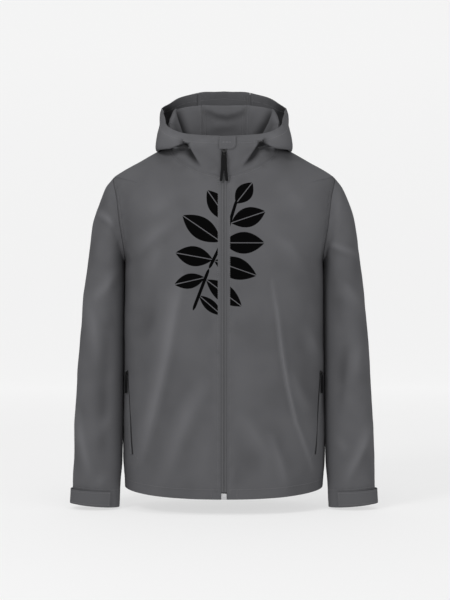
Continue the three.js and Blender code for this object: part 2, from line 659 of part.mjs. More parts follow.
addFront(-1);
addFront(1);
addBack();
addSleeve(-1);
addSleeve(1);
addCuffTab(-1);
addCuffTab(1);
addHoodSide(-1);
addHoodSide(1);
addHoodCentre();
addZip();
addChinGuard();
addMainSlider();
addPocket(-1);
addPocket(1);

export default jacket;
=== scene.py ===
import json
import math
import bpy
import numpy as np
from mathutils import Matrix, Vector, noise
from mathutils.bvhtree import BVHTree
from mathutils.kdtree import KDTree

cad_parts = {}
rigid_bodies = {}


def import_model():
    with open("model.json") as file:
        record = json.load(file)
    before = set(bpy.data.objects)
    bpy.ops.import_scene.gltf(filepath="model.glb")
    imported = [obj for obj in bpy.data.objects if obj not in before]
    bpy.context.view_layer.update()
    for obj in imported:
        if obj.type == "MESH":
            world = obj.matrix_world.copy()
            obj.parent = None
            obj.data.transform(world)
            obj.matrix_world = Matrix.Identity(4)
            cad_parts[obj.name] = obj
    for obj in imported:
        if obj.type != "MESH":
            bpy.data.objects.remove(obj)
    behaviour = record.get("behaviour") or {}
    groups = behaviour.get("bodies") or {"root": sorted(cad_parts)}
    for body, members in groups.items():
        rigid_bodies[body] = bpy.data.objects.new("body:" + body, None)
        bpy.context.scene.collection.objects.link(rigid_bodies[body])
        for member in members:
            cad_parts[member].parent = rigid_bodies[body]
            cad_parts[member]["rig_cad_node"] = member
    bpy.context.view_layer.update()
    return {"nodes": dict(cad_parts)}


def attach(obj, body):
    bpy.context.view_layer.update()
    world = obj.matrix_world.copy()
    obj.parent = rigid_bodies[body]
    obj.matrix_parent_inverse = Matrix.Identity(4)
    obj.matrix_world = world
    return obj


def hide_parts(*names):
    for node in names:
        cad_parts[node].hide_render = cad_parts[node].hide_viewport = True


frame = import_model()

mm = 0.001  # sizes are in millimetres unless a note says metres
scene = bpy.context.scene

print("camera")
photo = {"distance": 3.0, "height": -0.331, "aside": 0.0021, "frameHeight": 1.26, "sensor": 36.0}  # metres
bpy.ops.object.camera_add(
    location=(photo["aside"], -photo["distance"], photo["height"]), rotation=(math.radians(90), 0, 0)
)
camera = bpy.context.object
camera.data.sensor_width = photo["sensor"]
camera.data.lens = photo["sensor"] * photo["distance"] / photo["frameHeight"]
scene.camera = camera


def deselectAll():
    if bpy.context.object and bpy.context.object.mode != "OBJECT":
        bpy.ops.object.mode_set(mode="OBJECT")
    bpy.ops.object.select_all(action="DESELECT")


def pick(piece):
    deselectAll()
    piece.select_set(True)
    bpy.context.view_layer.objects.active = piece


def applyModifier(piece, kind, **values):
    pick(piece)
    modifier = piece.modifiers.new(kind.lower(), kind)
    for key, value in values.items():
        setattr(modifier, key, value)
    bpy.ops.object.modifier_apply(modifier=modifier.name)


def pointsOf(piece):
    points = np.zeros(len(piece.data.vertices) * 3)
    piece.data.vertices.foreach_get("co", points)
    return points.reshape(-1, 3)


def setPoints(piece, points):
    piece.data.vertices.foreach_set("co", points.ravel())
    piece.data.update()


# Rises softly from 0 at low to 1 at high.
def soft(value, low, high):
    t = np.clip((value - low) / (high - low), 0, 1)
    return t * t * (3 - 2 * t)


def between(value, low, high, fade):
    return soft(value, low - fade, low) * (1 - soft(value, high, high + fade))


def finishPiece(piece, material, slot, body, *nodes):
    piece.data.materials.clear()
    piece.data.materials.append(material)
    if nodes:
        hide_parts(*nodes)
    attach(piece, body)
    return piece


copying = {"mergeWithin": 0.02, "quadFlat": 70, "quadSkew": 100, "rimThinner": 2.35}  # mm and degrees


# A copy of a CAD solid, merged and in quads, with its rims kept sharp.
def copyOf(node, name, sharpFrom=50, wall=True):
    pick(frame["nodes"][node])
    bpy.ops.object.duplicate()
    piece = bpy.context.object
    piece.name = name
    piece.data.name = name
    del piece["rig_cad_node"]
    bpy.ops.object.parent_clear(type="CLEAR_KEEP_TRANSFORM")
    bpy.ops.object.mode_set(mode="EDIT")
    bpy.ops.mesh.select_all(action="SELECT")
    bpy.ops.mesh.customdata_custom_splitnormals_clear()
    bpy.ops.mesh.remove_doubles(threshold=copying["mergeWithin"] * mm)
    bpy.ops.mesh.tris_convert_to_quads(
        face_threshold=math.radians(copying["quadFlat"]), shape_threshold=math.radians(copying["quadSkew"])
    )
    bpy.ops.mesh.select_all(action="DESELECT")
    bpy.ops.mesh.select_mode(type="EDGE")
    bpy.ops.mesh.edges_select_sharp(sharpness=math.radians(sharpFrom))
    bpy.ops.object.mode_set(mode="OBJECT")
    if wall:
        for edge in rimEdges(piece):
            edge.select = True
    bpy.ops.object.mode_set(mode="EDIT")
    bpy.ops.transform.edge_crease(value=1)
    bpy.ops.object.mode_set(mode="OBJECT")
    return piece


# A wall's rim faces are those with an edge no longer than the wall is thick.
def rimFaces(piece):
    mesh = piece.data
    ends = [v.co for v in mesh.vertices]
    thin = copying["rimThinner"] * mm
    return [min((ends[a] - ends[b]).length for a, b in face.edge_keys) < thin for face in mesh.polygons]


def rimEdges(piece):
    rims = rimFaces(piece)
    count = {}
    for face, rim in zip(piece.data.polygons, rims):
        for key in face.edge_keys:
            count[key] = count.get(key, 0) + (1 if rim else 0)
    return [edge for edge in piece.data.edges if count[edge.key] == 1]


def refine(piece, levels):
    applyModifier(piece, "SUBSURF", levels=levels, render_levels=levels)


rounding = {"segments": 2, "edgesFrom": 50, "smoothTo": 60}  # degrees


def roundRims(piece, width):
    applyModifier(
        piece, "BEVEL", width=width * mm, segments=rounding["segments"], limit_method="ANGLE",
        angle_limit=math.radians(rounding["edgesFrom"])
    )
    bpy.ops.object.shade_smooth_by_angle(angle=math.radians(rounding["smoothTo"]))


# Level direction away from the middle of the piece's own section at each height.
def outwardOf(points, band=30 * mm):
    keys = np.round(points[:, 2] / band).astype(int)
    low = keys.min()
    count = np.bincount(keys - low)
    x = np.bincount(keys - low, points[:, 0]) / np.maximum(count, 1)
    y = np.bincount(keys - low, points[:, 1]) / np.maximum(count, 1)
    heights = (np.arange(len(count)) + low) * band
    full = count > 0
    centreX = np.interp(points[:, 2], heights[full], x[full])
    centreY = np.interp(points[:, 2], heights[full], y[full])
    out = np.column_stack([points[:, 0] - centreX, points[:, 1] - centreY, np.zeros(len(points))])
    return out / np.maximum(np.linalg.norm(out, axis=1), 1e-9)[:, None]


def normalsOf(piece):
    normals = np.zeros(len(piece.data.vertices) * 3)
    piece.data.vertex_normals.foreach_get("vector", normals)
    return normals.reshape(-1, 3)


# Marks the face of the wall that a ray from inside the garment meets first, up to its rims.
def markInside(piece, origin, direction):
    mesh = piece.data
    rims = rimFaces(piece)
    byEdge = {}
    for face in mesh.polygons:
        for key in face.edge_keys:
            byEdge.setdefault(key, []).append(face.index)
    first = treeOf(piece).ray_cast(Vector(origin), Vector(direction))[2]
    inside = np.zeros(len(mesh.polygons), dtype=np.float32)
    queue = [first]
    inside[first] = 1
    while queue:
        for key in mesh.polygons[queue.pop()].edge_keys:
            for other in byEdge[key]:
                if not inside[other] and not rims[other]:
                    inside[other] = 1
                    queue.append(other)
    mesh.attributes.new("inside", "FLOAT", "FACE").data.foreach_set("value", inside)
    print("  ", piece.name, "inner faces", int(inside.sum()), "of", len(mesh.polygons))


def insidePoints(piece):
    mesh = piece.data
    values = np.zeros(len(mesh.polygons), dtype=np.float32)
    mesh.attributes["inside"].data.foreach_get("value", values)
    marked = np.zeros(len(mesh.vertices))
    for face, value in zip(mesh.polygons, values):
        if value > 0.5:
            marked[list(face.vertices)] = 1
    return marked


shortestRim = 12  # points: a loop with fewer is a tight fold, not a rim


# The rim loops on the outer face, in order, before the piece is refined: for each its points, the outward
# directions there and the directions into the panel.
def rimLoops(piece):
    marked = insidePoints(piece)
    mesh = piece.data
    links = {}
    for edge in rimEdges(piece):
        a, b = edge.vertices
        if marked[a] or marked[b]:
            continue
        links.setdefault(a, []).append(b)
        links.setdefault(b, []).append(a)
    outward = {v: Vector() for v in links}
    inward = {v: Vector() for v in links}
    for face in mesh.polygons:
        if any(marked[v] for v in face.vertices):
            continue
        for v in face.vertices:
            if v in links:
                outward[v] += face.normal * face.area
                inward[v] += (face.center - mesh.vertices[v].co) * face.area
    loops = []
    seen = set()
    ends = sorted(links, key=lambda v: len(links[v]))
    for start in ends:
        if start in seen:
            continue
        loop = [start]
        seen.add(start)
        while True:
            ahead = [v for v in links[loop[-1]] if v not in seen]
            if not ahead:
                break
            loop.append(ahead[0])
            seen.add(ahead[0])
        if len(loop) < shortestRim:
            continue
        if loop[0] in links[loop[-1]]:
            loop.append(loop[0])
        rows = [[*mesh.vertices[v].co, *outward[v].normalized(), *inward[v].normalized()] for v in loop]
        loops.append(np.array(rows))
    return loops


# The same line with points a step apart.
def evenly(rows, step):
    lengths = np.concatenate([[0], np.cumsum(np.linalg.norm(np.diff(rows[:, :3], axis=0), axis=1))])
    count = max(int(lengths[-1] / step), 1)
    at = np.linspace(0, lengths[-1], count + 1)
    return np.column_stack([np.interp(at, lengths, rows[:, k]) for k in range(rows.shape[1])])


def treeOf(piece):
    mesh = piece.data
    return BVHTree.FromPolygons([v.co[:] for v in mesh.vertices], [f.vertices[:] for f in mesh.polygons])


rowSearch = {"pitch": 3.8, "outerLift": 1.5, "innerLift": 3.2, "facing": 0.2, "fewest": 3}


# Places in rows beside the rims, at an inset into the piece: each run is a list of (place, along, outward).
# A row on the inner face has face=-1.
def rowsBeside(piece, loops, inset, where, face=1):
    tree = treeOf(piece)
    runs = []
    for loop in loops:
        rows = evenly(loop, rowSearch["pitch"] * mm)
        run = []
        for k in range(1, len(rows) - 1):
            here = Vector(rows[k, :3])
            if not where(here):
                if len(run) > rowSearch["fewest"]:
                    runs.append(run)
                run = []
                continue
            along = (Vector(rows[k + 1, :3]) - Vector(rows[k - 1, :3])).normalized()
            out = Vector(rows[k, 3:6]).normalized()
            inward = Vector(rows[k, 6:9])
            side = (inward - along * inward.dot(along) - out * inward.dot(out)).normalized()
            lift = out * rowSearch["outerLift"] * mm if face > 0 else -out * rowSearch["innerLift"] * mm
            place, normal = tree.find_nearest(here + side * inset * mm + lift)[:2]
            if normal.dot(out) * face < rowSearch["facing"]:
                normal = out * face
            run.append((place, along, normal))
        if len(run) > rowSearch["fewest"]:
            runs.append(run)
    return runs


# lean is how much wider the foot is on one side; span is the part of the swell that the line takes, where
# 0.5 is full and 0 and 1 are where it has run out
creaseForm = {"lean": 1.6, "span": (0.06, 0.96), "crest": 1.25, "dip": 0.25, "dipWide": 2.6, "ends": 0.7}


# Height of a ridge or trough that runs through points (across, up), in millimetres.
def creaseHeight(across, up, line):
    best = np.full(len(across), 1e9)
    side = np.zeros(len(across))
    along = np.zeros(len(across))
    stops = line["through"]
    lengths = [math.dist(a, b) for a, b in zip(stops, stops[1:])]
    run = 0.0
    for (ax, az), (bx, bz), length in zip(stops, stops[1:], lengths):
        dx, dz = (bx - ax) / length, (bz - az) / length
        t = np.clip((across - ax) * dx + (up - az) * dz, 0, length)
        offX, offZ = across - ax - t * dx, up - az - t * dz
        gap = np.hypot(offX, offZ)
        nearer = gap < best
        best = np.where(nearer, gap, best)
        side = np.where(nearer, np.sign(offX * dz - offZ * dx), side)
        along = np.where(nearer, (run + t) / sum(lengths), along)
        run += length
    wide = line["width"] * np.where(side > 0, line.get("lean", creaseForm["lean"]), 1.0)
    first, last = line.get("span", creaseForm["span"])
    swell = np.sin(np.pi * np.clip(first + (last - first) * along, 0, 1)) ** creaseForm["ends"]
    crest = np.exp(-((best / wide) ** 2)) * creaseForm["crest"]
    dip = creaseForm["dip"] * np.exp(-((best / (creaseForm["dipWide"] * wide)) ** 2))
    return line["height"] * (crest - dip) * swell


noiseStep = (3.7, 1.3, 2.1)  # moves the noise to another place for each seed


def unevenness(points, size, seed):
    offset = Vector([seed * step for step in noiseStep])
    return np.array([noise.noise(Vector(p) / (size * mm) + offset) for p in points])


# Adds broad and small waves to the cloth, each (height, size, seed step).
def addWaves(height, points, waves, seed):
    for high, size, step in waves:
        height = height + high * unevenness(points, size, seed + step)
    return height


def distanceTo(points, spots):
    tree = KDTree(len(spots))
    for k, spot in enumerate(spots):
        tree.insert(spot, k)
    tree.balance()
    return np.array([tree.find(p)[2] for p in points])


cloth = {"holdWidth": 20, "pucker": 1.0, "puckerSize": 13, "puckerSeed": 11, "puckerRise": (0.5, 5),
         "puckerFade": 15, "grooveDepth": 0.8, "grooveWidth": 1.8, "fullShade": 5.5, "seamPitch": 4,
         "rimRound": 0.35}


def seamPoints(loops):
    return np.vstack([evenly(loop, cloth["seamPitch"] * mm)[:, :3] for loop in loops])


# Moves both faces of the wall along out by height, held at the seams, puckered beside them and drawn in at
# stitches.
# free is a height that the seams don't hold, and shaded adds to the tone of the creases. The tone, taken
# from the height, is the painted highlight and painted shade of ridges, troughs and stitch grooves.
def moveCloth(piece, out, height, seams, stitched=(), free=0, shaded=0):
    points = pointsOf(piece)
    if len(seams):
        apart = distanceTo(points, seams) / mm
        height = height * soft(apart, 0, cloth["holdWidth"])
        near = soft(apart, *cloth["puckerRise"]) * np.exp(-apart / cloth["puckerFade"])
        uneven = unevenness(points, cloth["puckerSize"], cloth["puckerSeed"])
        height = height + cloth["pucker"] * near * uneven
    if len(stitched):
        off = distanceTo(points, stitched) / mm
        height = height - cloth["grooveDepth"] * np.exp(-((off / cloth["grooveWidth"]) ** 2))
    setPoints(piece, points + out * ((height + free) * mm)[:, None])
    shade = piece.data.attributes.new("crease", "FLOAT", "POINT")
    # painted highlight on ridges and painted shade in troughs and stitch grooves
    tone = np.clip(height / cloth["fullShade"] + shaded, -1, 1)
    shade.data.foreach_set("value", tone.astype(np.float32))


def placesOf(runs):
    return [place for run in runs for place, along, outward in run]


# The last steps of every large panel.
def closePanel(piece, material, node):
    roundRims(piece, cloth["rimRound"])
    layClothMap(piece)
    clothPieces[node] = finishPiece(piece, material, "shell_cloth", "jacket", node)


print("materials")


def newMaterial(name, roughness, metallic=0.0, specular=0.5):
    material = bpy.data.materials.new(name)
    material.use_nodes = True
    tree = material.node_tree
    shader = tree.nodes["Principled BSDF"]
    shader.inputs["Roughness"].default_value = roughness
    shader.inputs["Metallic"].default_value = metallic
    shader.inputs["Specular IOR Level"].default_value = specular
    return material, tree, shader


def shaderNode(tree, kind, **values):
    made = tree.nodes.new("ShaderNode" + kind)
    for key, value in values.items():
        if hasattr(made, key):
            setattr(made, key, value)
        else:
            made.inputs[key].default_value = value
    return made


def link(tree, source, target):
    tree.links.new(source, target)


def maths(tree, operation, first, second=None, third=None):
    made = tree.nodes.new("ShaderNodeMath")
    made.operation = operation
    for k, value in enumerate((first, second, third)):
        if value is None:
            continue
        if isinstance(value, (int, float)):
            made.inputs[k].default_value = value
        else:
            tree.links.new(value, made.inputs[k])
    return made.outputs[0]


def mixColours(tree, amount, first, second):
    made = tree.nodes.new("ShaderNodeMix")
    made.data_type = "RGBA"
    for key, value in ((0, amount), (6, first), (7, second)):
        if isinstance(value, (int, float, tuple)):
            made.inputs[key].default_value = value
        else:
            tree.links.new(value, made.inputs[key])
    return made.outputs[2]


softshell = {
    "colour": (0.105, 0.105, 0.111, 1),
    "dark": (0.083, 0.083, 0.088, 1),
    "light": (0.128, 0.128, 0.135, 1),
    "cloudScale": 7.0,
    "cloudShare": 0.35,
    "speckScale": 420.0,
    "speckShare": 0.3,
    "threadPitch": 0.55,
    "weaveStrength": 0.10,
    "weaveDepth": 0.1,
    "crumpleScale": 55.0,
    "crumpleStrength": 0.25,
    "crumpleDepth": 0.7,
    # painted highlight on crease ridges and painted shade in crease troughs, as shares of the colour
    "ridge": 1.42,
    "trough": 0.32,
    "innerShade": 0.92,
    "roughness": 0.85,
    "specular": 0.04,
    "print": (0.001, 0.001, 0.0011, 1),
}
twillShare = 0.4


def weaveHeight(tree, pitch):
    uv = shaderNode(tree, "UVMap", uv_map="cloth")
    parts = shaderNode(tree, "SeparateXYZ")
    link(tree, uv.outputs[0], parts.inputs[0])
    turn = 2 * math.pi / (pitch * mm)
    warp = maths(tree, "SINE", maths(tree, "MULTIPLY", parts.outputs[0], turn))
    weft = maths(tree, "SINE", maths(tree, "MULTIPLY", parts.outputs[1], turn))
    diagonal = maths(tree, "ADD", parts.outputs[0], parts.outputs[1])
    twill = maths(tree, "SINE", maths(tree, "MULTIPLY", diagonal, turn / 2))
    grid = maths(tree, "MULTIPLY", warp, weft)
    plain = maths(tree, "MULTIPLY", grid, 1 - twillShare)
    return maths(tree, "ADD", plain, maths(tree, "MULTIPLY", twill, twillShare))


# Leaves and stem of the sprig: foot and tip seen from the front (across, up), and half width.
sprig = {
    "stem": [((-62, -352), (-30, -268)), ((-30, -268), (4, -200)), ((4, -200), (26, -128))],
    "stemHalfWidth": 3.2,
    "leaves": [
        ((24, -136), (58, -92), 17),
        ((10, -172), (-34, -108), 19),
        ((14, -176), (84, -152), 20),
        ((-6, -214), (-84, -160), 22),
        ((-2, -216), (82, -216), 22),
        ((-22, -250), (-98, -236), 20),
        ((-20, -252), (66, -282), 22),
        ((-38, -286), (-100, -300), 15),
        ((-36, -290), (36, -344), 18),
        ((-50, -322), (-4, -362), 11),
    ],
    "vein": 0.9,
    "leafBow": 2,
    "stemBow": 12,
    "zipClear": 24,
}


def sprigMask(tree):
    place = shaderNode(tree, "TexCoord").outputs["Object"]
    parts = shaderNode(tree, "SeparateXYZ")
    link(tree, place, parts.inputs[0])
    best = None
    shapes = [(foot, tip, half, True) for foot, tip, half in sprig["leaves"]]
    shapes += [(foot, tip, sprig["stemHalfWidth"], False) for foot, tip in sprig["stem"]]
    for foot, tip, half, leaf in shapes:
        middle = ((foot[0] + tip[0]) / 2 * mm, (foot[1] + tip[1]) / 2 * mm)
        length = math.dist(foot, tip) * mm
        angle = math.atan2(tip[1] - foot[1], tip[0] - foot[0])
        along = maths(tree, "MULTIPLY_ADD", parts.outputs[0], math.cos(angle), -middle[0] * math.cos(angle))
        along = maths(tree, "MULTIPLY_ADD", parts.outputs[2], math.sin(angle),
                      maths(tree, "ADD", along, -middle[1] * math.sin(angle)))
        aside = maths(tree, "MULTIPLY_ADD", parts.outputs[0], -math.sin(angle), middle[0] * math.sin(angle))
        aside = maths(tree, "MULTIPLY_ADD", parts.outputs[2], math.cos(angle),
                      maths(tree, "ADD", aside, -middle[1] * math.cos(angle)))
        aside = maths(tree, "ABSOLUTE", aside)
        reach = maths(tree, "DIVIDE", along, length / 2)
        bow = maths(tree, "POWER", maths(tree, "ABSOLUTE", reach), sprig["leafBow" if leaf else "stemBow"])
        room = maths(tree, "MULTIPLY_ADD", bow, -half * mm, half * mm)
        inside = maths(tree, "SUBTRACT", room, aside)
        if leaf:  # the bare vein along a leaf's middle
            vein = maths(tree, "SUBTRACT", aside, sprig["vein"] * mm)
            inside = maths(tree, "MINIMUM", inside, vein)
        best = inside if best is None else maths(tree, "MAXIMUM", best, inside)
    fromZip = maths(tree, "SUBTRACT", maths(tree, "ABSOLUTE", parts.outputs[0]), sprig["zipClear"] / 2 * mm)
    facing = maths(tree, "MULTIPLY", parts.outputs[1], -1.0)
    best = maths(tree, "MINIMUM", best, maths(tree, "MINIMUM", fromZip, facing))
    return maths(tree, "GREATER_THAN", best, 0.0)


def clothTone(shade):
    return tuple(v * softshell[shade] for v in softshell["colour"][:3]) + (1,)


def clothMaterial(name, printed=False):
    material, tree, shader = newMaterial(name, softshell["roughness"], specular=softshell["specular"])
    place = shaderNode(tree, "TexCoord").outputs["Object"]
    broad = shaderNode(tree, "TexNoise", Scale=softshell["cloudScale"], Detail=3.0)
    fine = shaderNode(tree, "TexNoise", Scale=softshell["speckScale"], Detail=2.0, Roughness=0.6)
    for texture in (broad, fine):
        link(tree, place, texture.inputs["Vector"])
    cloudy = maths(tree, "MULTIPLY", broad.outputs[0], softshell["cloudShare"])
    colour = mixColours(tree, cloudy, softshell["colour"], softshell["dark"])
    speck = maths(tree, "MULTIPLY", fine.outputs[0], softshell["speckShare"])
    colour = mixColours(tree, speck, colour, softshell["light"])
    # the inner face is painted darker, partly as the cloth's darker wrong side and partly as painted shade
    # inside the garment
    inner = shaderNode(tree, "Attribute", attribute_name="inside").outputs["Fac"]
    colour = mixColours(tree, inner, colour, clothTone("innerShade"))
    # painted highlight on the ridges of creases and painted shade in their troughs and stitch grooves
    folds = shaderNode(tree, "Attribute", attribute_name="crease").outputs["Fac"]
    ridge = maths(tree, "MINIMUM", maths(tree, "MAXIMUM", folds, 0.0), 1.0)
    trough = maths(tree, "MINIMUM", maths(tree, "MAXIMUM", maths(tree, "MULTIPLY", folds, -1.0), 0.0), 1.0)
    colour = mixColours(tree, ridge, colour, clothTone("ridge"))
    colour = mixColours(tree, trough, colour, clothTone("trough"))
    weave = shaderNode(tree, "Bump", Strength=softshell["weaveStrength"],
                       Distance=softshell["weaveDepth"] * mm)
    link(tree, weaveHeight(tree, softshell["threadPitch"]), weave.inputs["Height"])
    crumple = shaderNode(tree, "Bump", Strength=softshell["crumpleStrength"],
                         Distance=softshell["crumpleDepth"] * mm)
    wrinkle = shaderNode(tree, "TexNoise", Scale=softshell["crumpleScale"], Detail=2.0)
    link(tree, place, wrinkle.inputs["Vector"])
    link(tree, wrinkle.outputs[0], crumple.inputs["Height"])
    link(tree, weave.outputs[0], crumple.inputs["Normal"])
    link(tree, crumple.outputs[0], shader.inputs["Normal"])
    if printed:
        colour = mixColours(tree, sprigMask(tree), colour, softshell["print"])
    link(tree, colour, shader.inputs["Base Color"])
    return material


plainTone = {"darker": 0.8, "lighter": 1.2, "bump": 0.3}


# One colour with a fine grain: grain is the noise's scale, depth its height.
def plainMaterial(name, colour, roughness, metallic=0.0, specular=0.5, grain=220, depth=0.05):
    material, tree, shader = newMaterial(name, roughness, metallic, specular)
    place = shaderNode(tree, "TexCoord").outputs["Object"]
    speckle = shaderNode(tree, "TexNoise", Scale=grain, Detail=3.0)
    link(tree, place, speckle.inputs["Vector"])
    tone = mixColours(tree, speckle.outputs[0], tuple(v * plainTone["darker"] for v in colour) + (1,),
                      tuple(min(v * plainTone["lighter"], 1) for v in colour) + (1,))
    link(tree, tone, shader.inputs["Base Color"])
    bump = shaderNode(tree, "Bump", Strength=plainTone["bump"], Distance=depth * mm)
    link(tree, speckle.outputs[0], bump.inputs["Height"])
    link(tree, bump.outputs[0], shader.inputs["Normal"])
    return material


clothGrey = clothMaterial("softshellGrey")
clothPrinted = clothMaterial("softshellPrinted", printed=True)
threadGrey = plainMaterial("threadGrey", (0.165, 0.165, 0.17), 0.6, grain=900)
threadLight = plainMaterial("threadLight", (0.25, 0.25, 0.26), 0.6, grain=900)
seamDark = plainMaterial("seamDark", (0.08, 0.08, 0.084), 0.8, specular=0.2, grain=900)
tapeGrey = plainMaterial("tapeGrey", (0.092, 0.092, 0.097), 0.75, specular=0.3, grain=700, depth=0.1)
tapeBlack = plainMaterial("tapeBlack", (0.012, 0.012, 0.013), 0.7, specular=0.3, grain=700, depth=0.1)
pullBlack = plainMaterial("pullBlack", (0.004, 0.004, 0.0043), 0.6, specular=0.12, grain=260)
sliderBlack = plainMaterial("sliderBlack", (0.012, 0.012, 0.012), 0.35, metallic=0.4, grain=300, depth=0.02)
boxMetal = plainMaterial("boxMetal", (0.55, 0.55, 0.56), 0.3, metallic=1.0, grain=400, depth=0.02)


def layClothMap(piece):
    pick(piece)
    layer = piece.data.uv_layers.get("cloth") or piece.data.uv_layers.new(name="cloth")
    piece.data.uv_layers.active = layer
    bpy.ops.object.mode_set(mode="EDIT")
    bpy.ops.mesh.select_all(action="SELECT")
    bpy.ops.uv.cube_project(cube_size=1.0, correct_aspect=False, scale_to_bounds=False)
    bpy.ops.object.mode_set(mode="OBJECT")


print("fronts and back")

# creases as seen from the front: the line that each runs through (across, up), its height, which is below
# zero for a trough, and the width of its foot
frontFolds = {
    "right": [
        {"through": [(-84, -288), (-98, -351), (-112, -431), (-128, -501), (-148, -581), (-163, -631),
                     (-174, -662)], "height": 4.6, "width": 8, "lean": 2.4},
        {"through": [(-36, -498), (-66, -551), (-92, -611), (-120, -690)], "height": 2.8, "width": 12},
        {"through": [(-102, -172), (-132, -194), (-180, -236)], "height": 2.6, "width": 11},
        {"through": [(-130, -226), (-154, -280)], "height": 1.8, "width": 11},
        {"through": [(-112, -130), (-150, -158)], "height": 1.5, "width": 12},
        {"through": [(-142, -340), (-166, -420)], "height": -1.6, "width": 13},
        {"through": [(-30, -600), (-48, -690)], "height": 1.3, "width": 14},
    ],
    "left": [
        {"through": [(96, -296), (108, -371), (116, -441), (126, -501), (144, -579), (165, -633),
                     (180, -676)], "height": 4.4, "width": 7, "lean": 0.45},
        {"through": [(36, -568), (62, -602), (86, -640), (92, -680)], "height": 2.2, "width": 11},
        {"through": [(94, -606), (112, -655), (127, -703)], "height": 2.8, "width": 8},
        {"through": [(136, -484), (174, -560)], "height": 1.9, "width": 9},
        {"through": [(100, -204), (132, -224), (160, -260)], "height": 1.9, "width": 11},
        {"through": [(176, -400), (190, -446)], "height": 2.0, "width": 9},
        {"through": [(132, -112), (164, -150)], "height": 1.4, "width": 13},
    ],
}
backFolds = [
    {"through": [(-96, -330), (-118, -450), (-150, -600), (-166, -690)], "height": 4.0, "width": 9,
     "lean": 2.0},
    {"through": [(88, -340), (108, -470), (136, -600), (160, -700)], "height": 3.8, "width": 9,
     "lean": 0.5},
    {"through": [(-40, -520), (-62, -620), (-76, -700)], "height": 2.2, "width": 13},
    {"through": [(52, -560), (70, -690)], "height": 2.0, "width": 12},
    {"through": [(-108, -176), (-150, -206), (-186, -240)], "height": 2.6, "width": 11},
    {"through": [(104, -170), (150, -200), (184, -244)], "height": 2.4, "width": 11},
    {"through": [(-60, -120), (0, -128), (66, -118)], "height": -1.6, "width": 14},
    {"through": [(-150, -300), (-176, -380)], "height": 1.8, "width": 12},
]


body = {
    "levels": 3,
    "halfWidth": 206,
    "halfDepth": 138,
    "hemStitch": 20,
    "edgeStitch": 6,
    "armholeStitch": 6,
    "neckStitch": 4,
    "hemBelow": -712,
    "edgeAbove": -728,
    "zipEdge": 12,
    "armhole": {"outside": 150, "heights": (-256, -55)},
    "neckline": {"within": 115, "above": -95},
    "seenFrom": (120, 0, -450),  # a place in the hollow, for the left front
    "waves": ((1.3, 85, 0), (0.5, 30, 5)),
    "flatAtZip": (14, 28),
    # the sides come out to meet the sleeves
    "sideOut": 2.0,
    "sideFrom": (165, 203),
    "sideHeights": (-665, -290, 45),
}
stitchRuns = {"body": [], "sleeves": [], "hood": [], "tabs": []}
seamLoops = []
clothPieces = {}


def bodyOut(points):
    wide, deep = body["halfWidth"] * mm, body["halfDepth"] * mm
    out = np.column_stack([points[:, 0] / wide ** 2, points[:, 1] / deep ** 2, np.zeros(len(points))])
    return out / np.maximum(np.linalg.norm(out, axis=1), 1e-9)[:, None]


def isHem(spot):
    return spot[2] < body["hemBelow"] * mm


def isCentreEdge(spot):
    return abs(spot[0]) < body["zipEdge"] * mm and spot[1] < 0


def isStitchedEdge(spot):
    return isCentreEdge(spot) and spot[2] > body["edgeAbove"] * mm


def isArmhole(spot):
    foot, top = body["armhole"]["heights"]
    return abs(spot[0]) > body["armhole"]["outside"] * mm and foot * mm < spot[2] < top * mm


def isNeckline(spot):
    return abs(spot[0]) < body["neckline"]["within"] * mm and spot[2] > body["neckline"]["above"] * mm


def bodyRows(piece, loops, front):
    rows = rowsBeside(piece, loops, body["hemStitch"], isHem)
    if front:
        rows += rowsBeside(piece, loops, body["edgeStitch"], isStitchedEdge)
    rows += rowsBeside(piece, loops, body["armholeStitch"], isArmhole)
    return rows + rowsBeside(piece, loops, body["neckStitch"], isNeckline)


def makeBodyPanel(node, name, folds, seed, material):
    piece = copyOf(node, name)
    front = node.startswith("front")
    sign = {"front_right": -1, "front_left": 1, "back": 0}[node]
    hollow = Vector(body["seenFrom"]) * mm
    hollow.x *= sign
    markInside(piece, hollow, (0, -1 if front else 1, 0))
    loops = rimLoops(piece)
    refine(piece, body["levels"])
    grooves = placesOf(bodyRows(piece, loops, front))
    points = pointsOf(piece)
    across, up = points[:, 0] / mm, points[:, 2] / mm
    height = sum(creaseHeight(across, up, line) for line in folds)
    height = addWaves(height, points, body["waves"], seed)
    if front:
        height = height * soft(np.abs(across), *body["flatAtZip"])
    seams = seamPoints(loops)
    seams = seams[seams[:, 2] > body["hemBelow"] * mm]
    beside = soft(np.abs(across), *body["sideFrom"]) * between(up, *body["sideHeights"])
    moveCloth(piece, bodyOut(points), height, seams, grooves, body["sideOut"] * beside)
    closePanel(piece, material, node)
    stitchRuns["body"] += bodyRows(piece, loops, front)
    seamLoops.append((loops, lambda p, along: not isHem(p) and not (front and isCentreEdge(p))))


makeBodyPanel("front_right", "frontPanelRight", frontFolds["right"], 1, clothPrinted)
makeBodyPanel("front_left", "frontPanelLeft", frontFolds["left"], 2, clothPrinted)
makeBodyPanel("back", "backPanel", backFolds, 3, clothGrey)

print("sleeves")

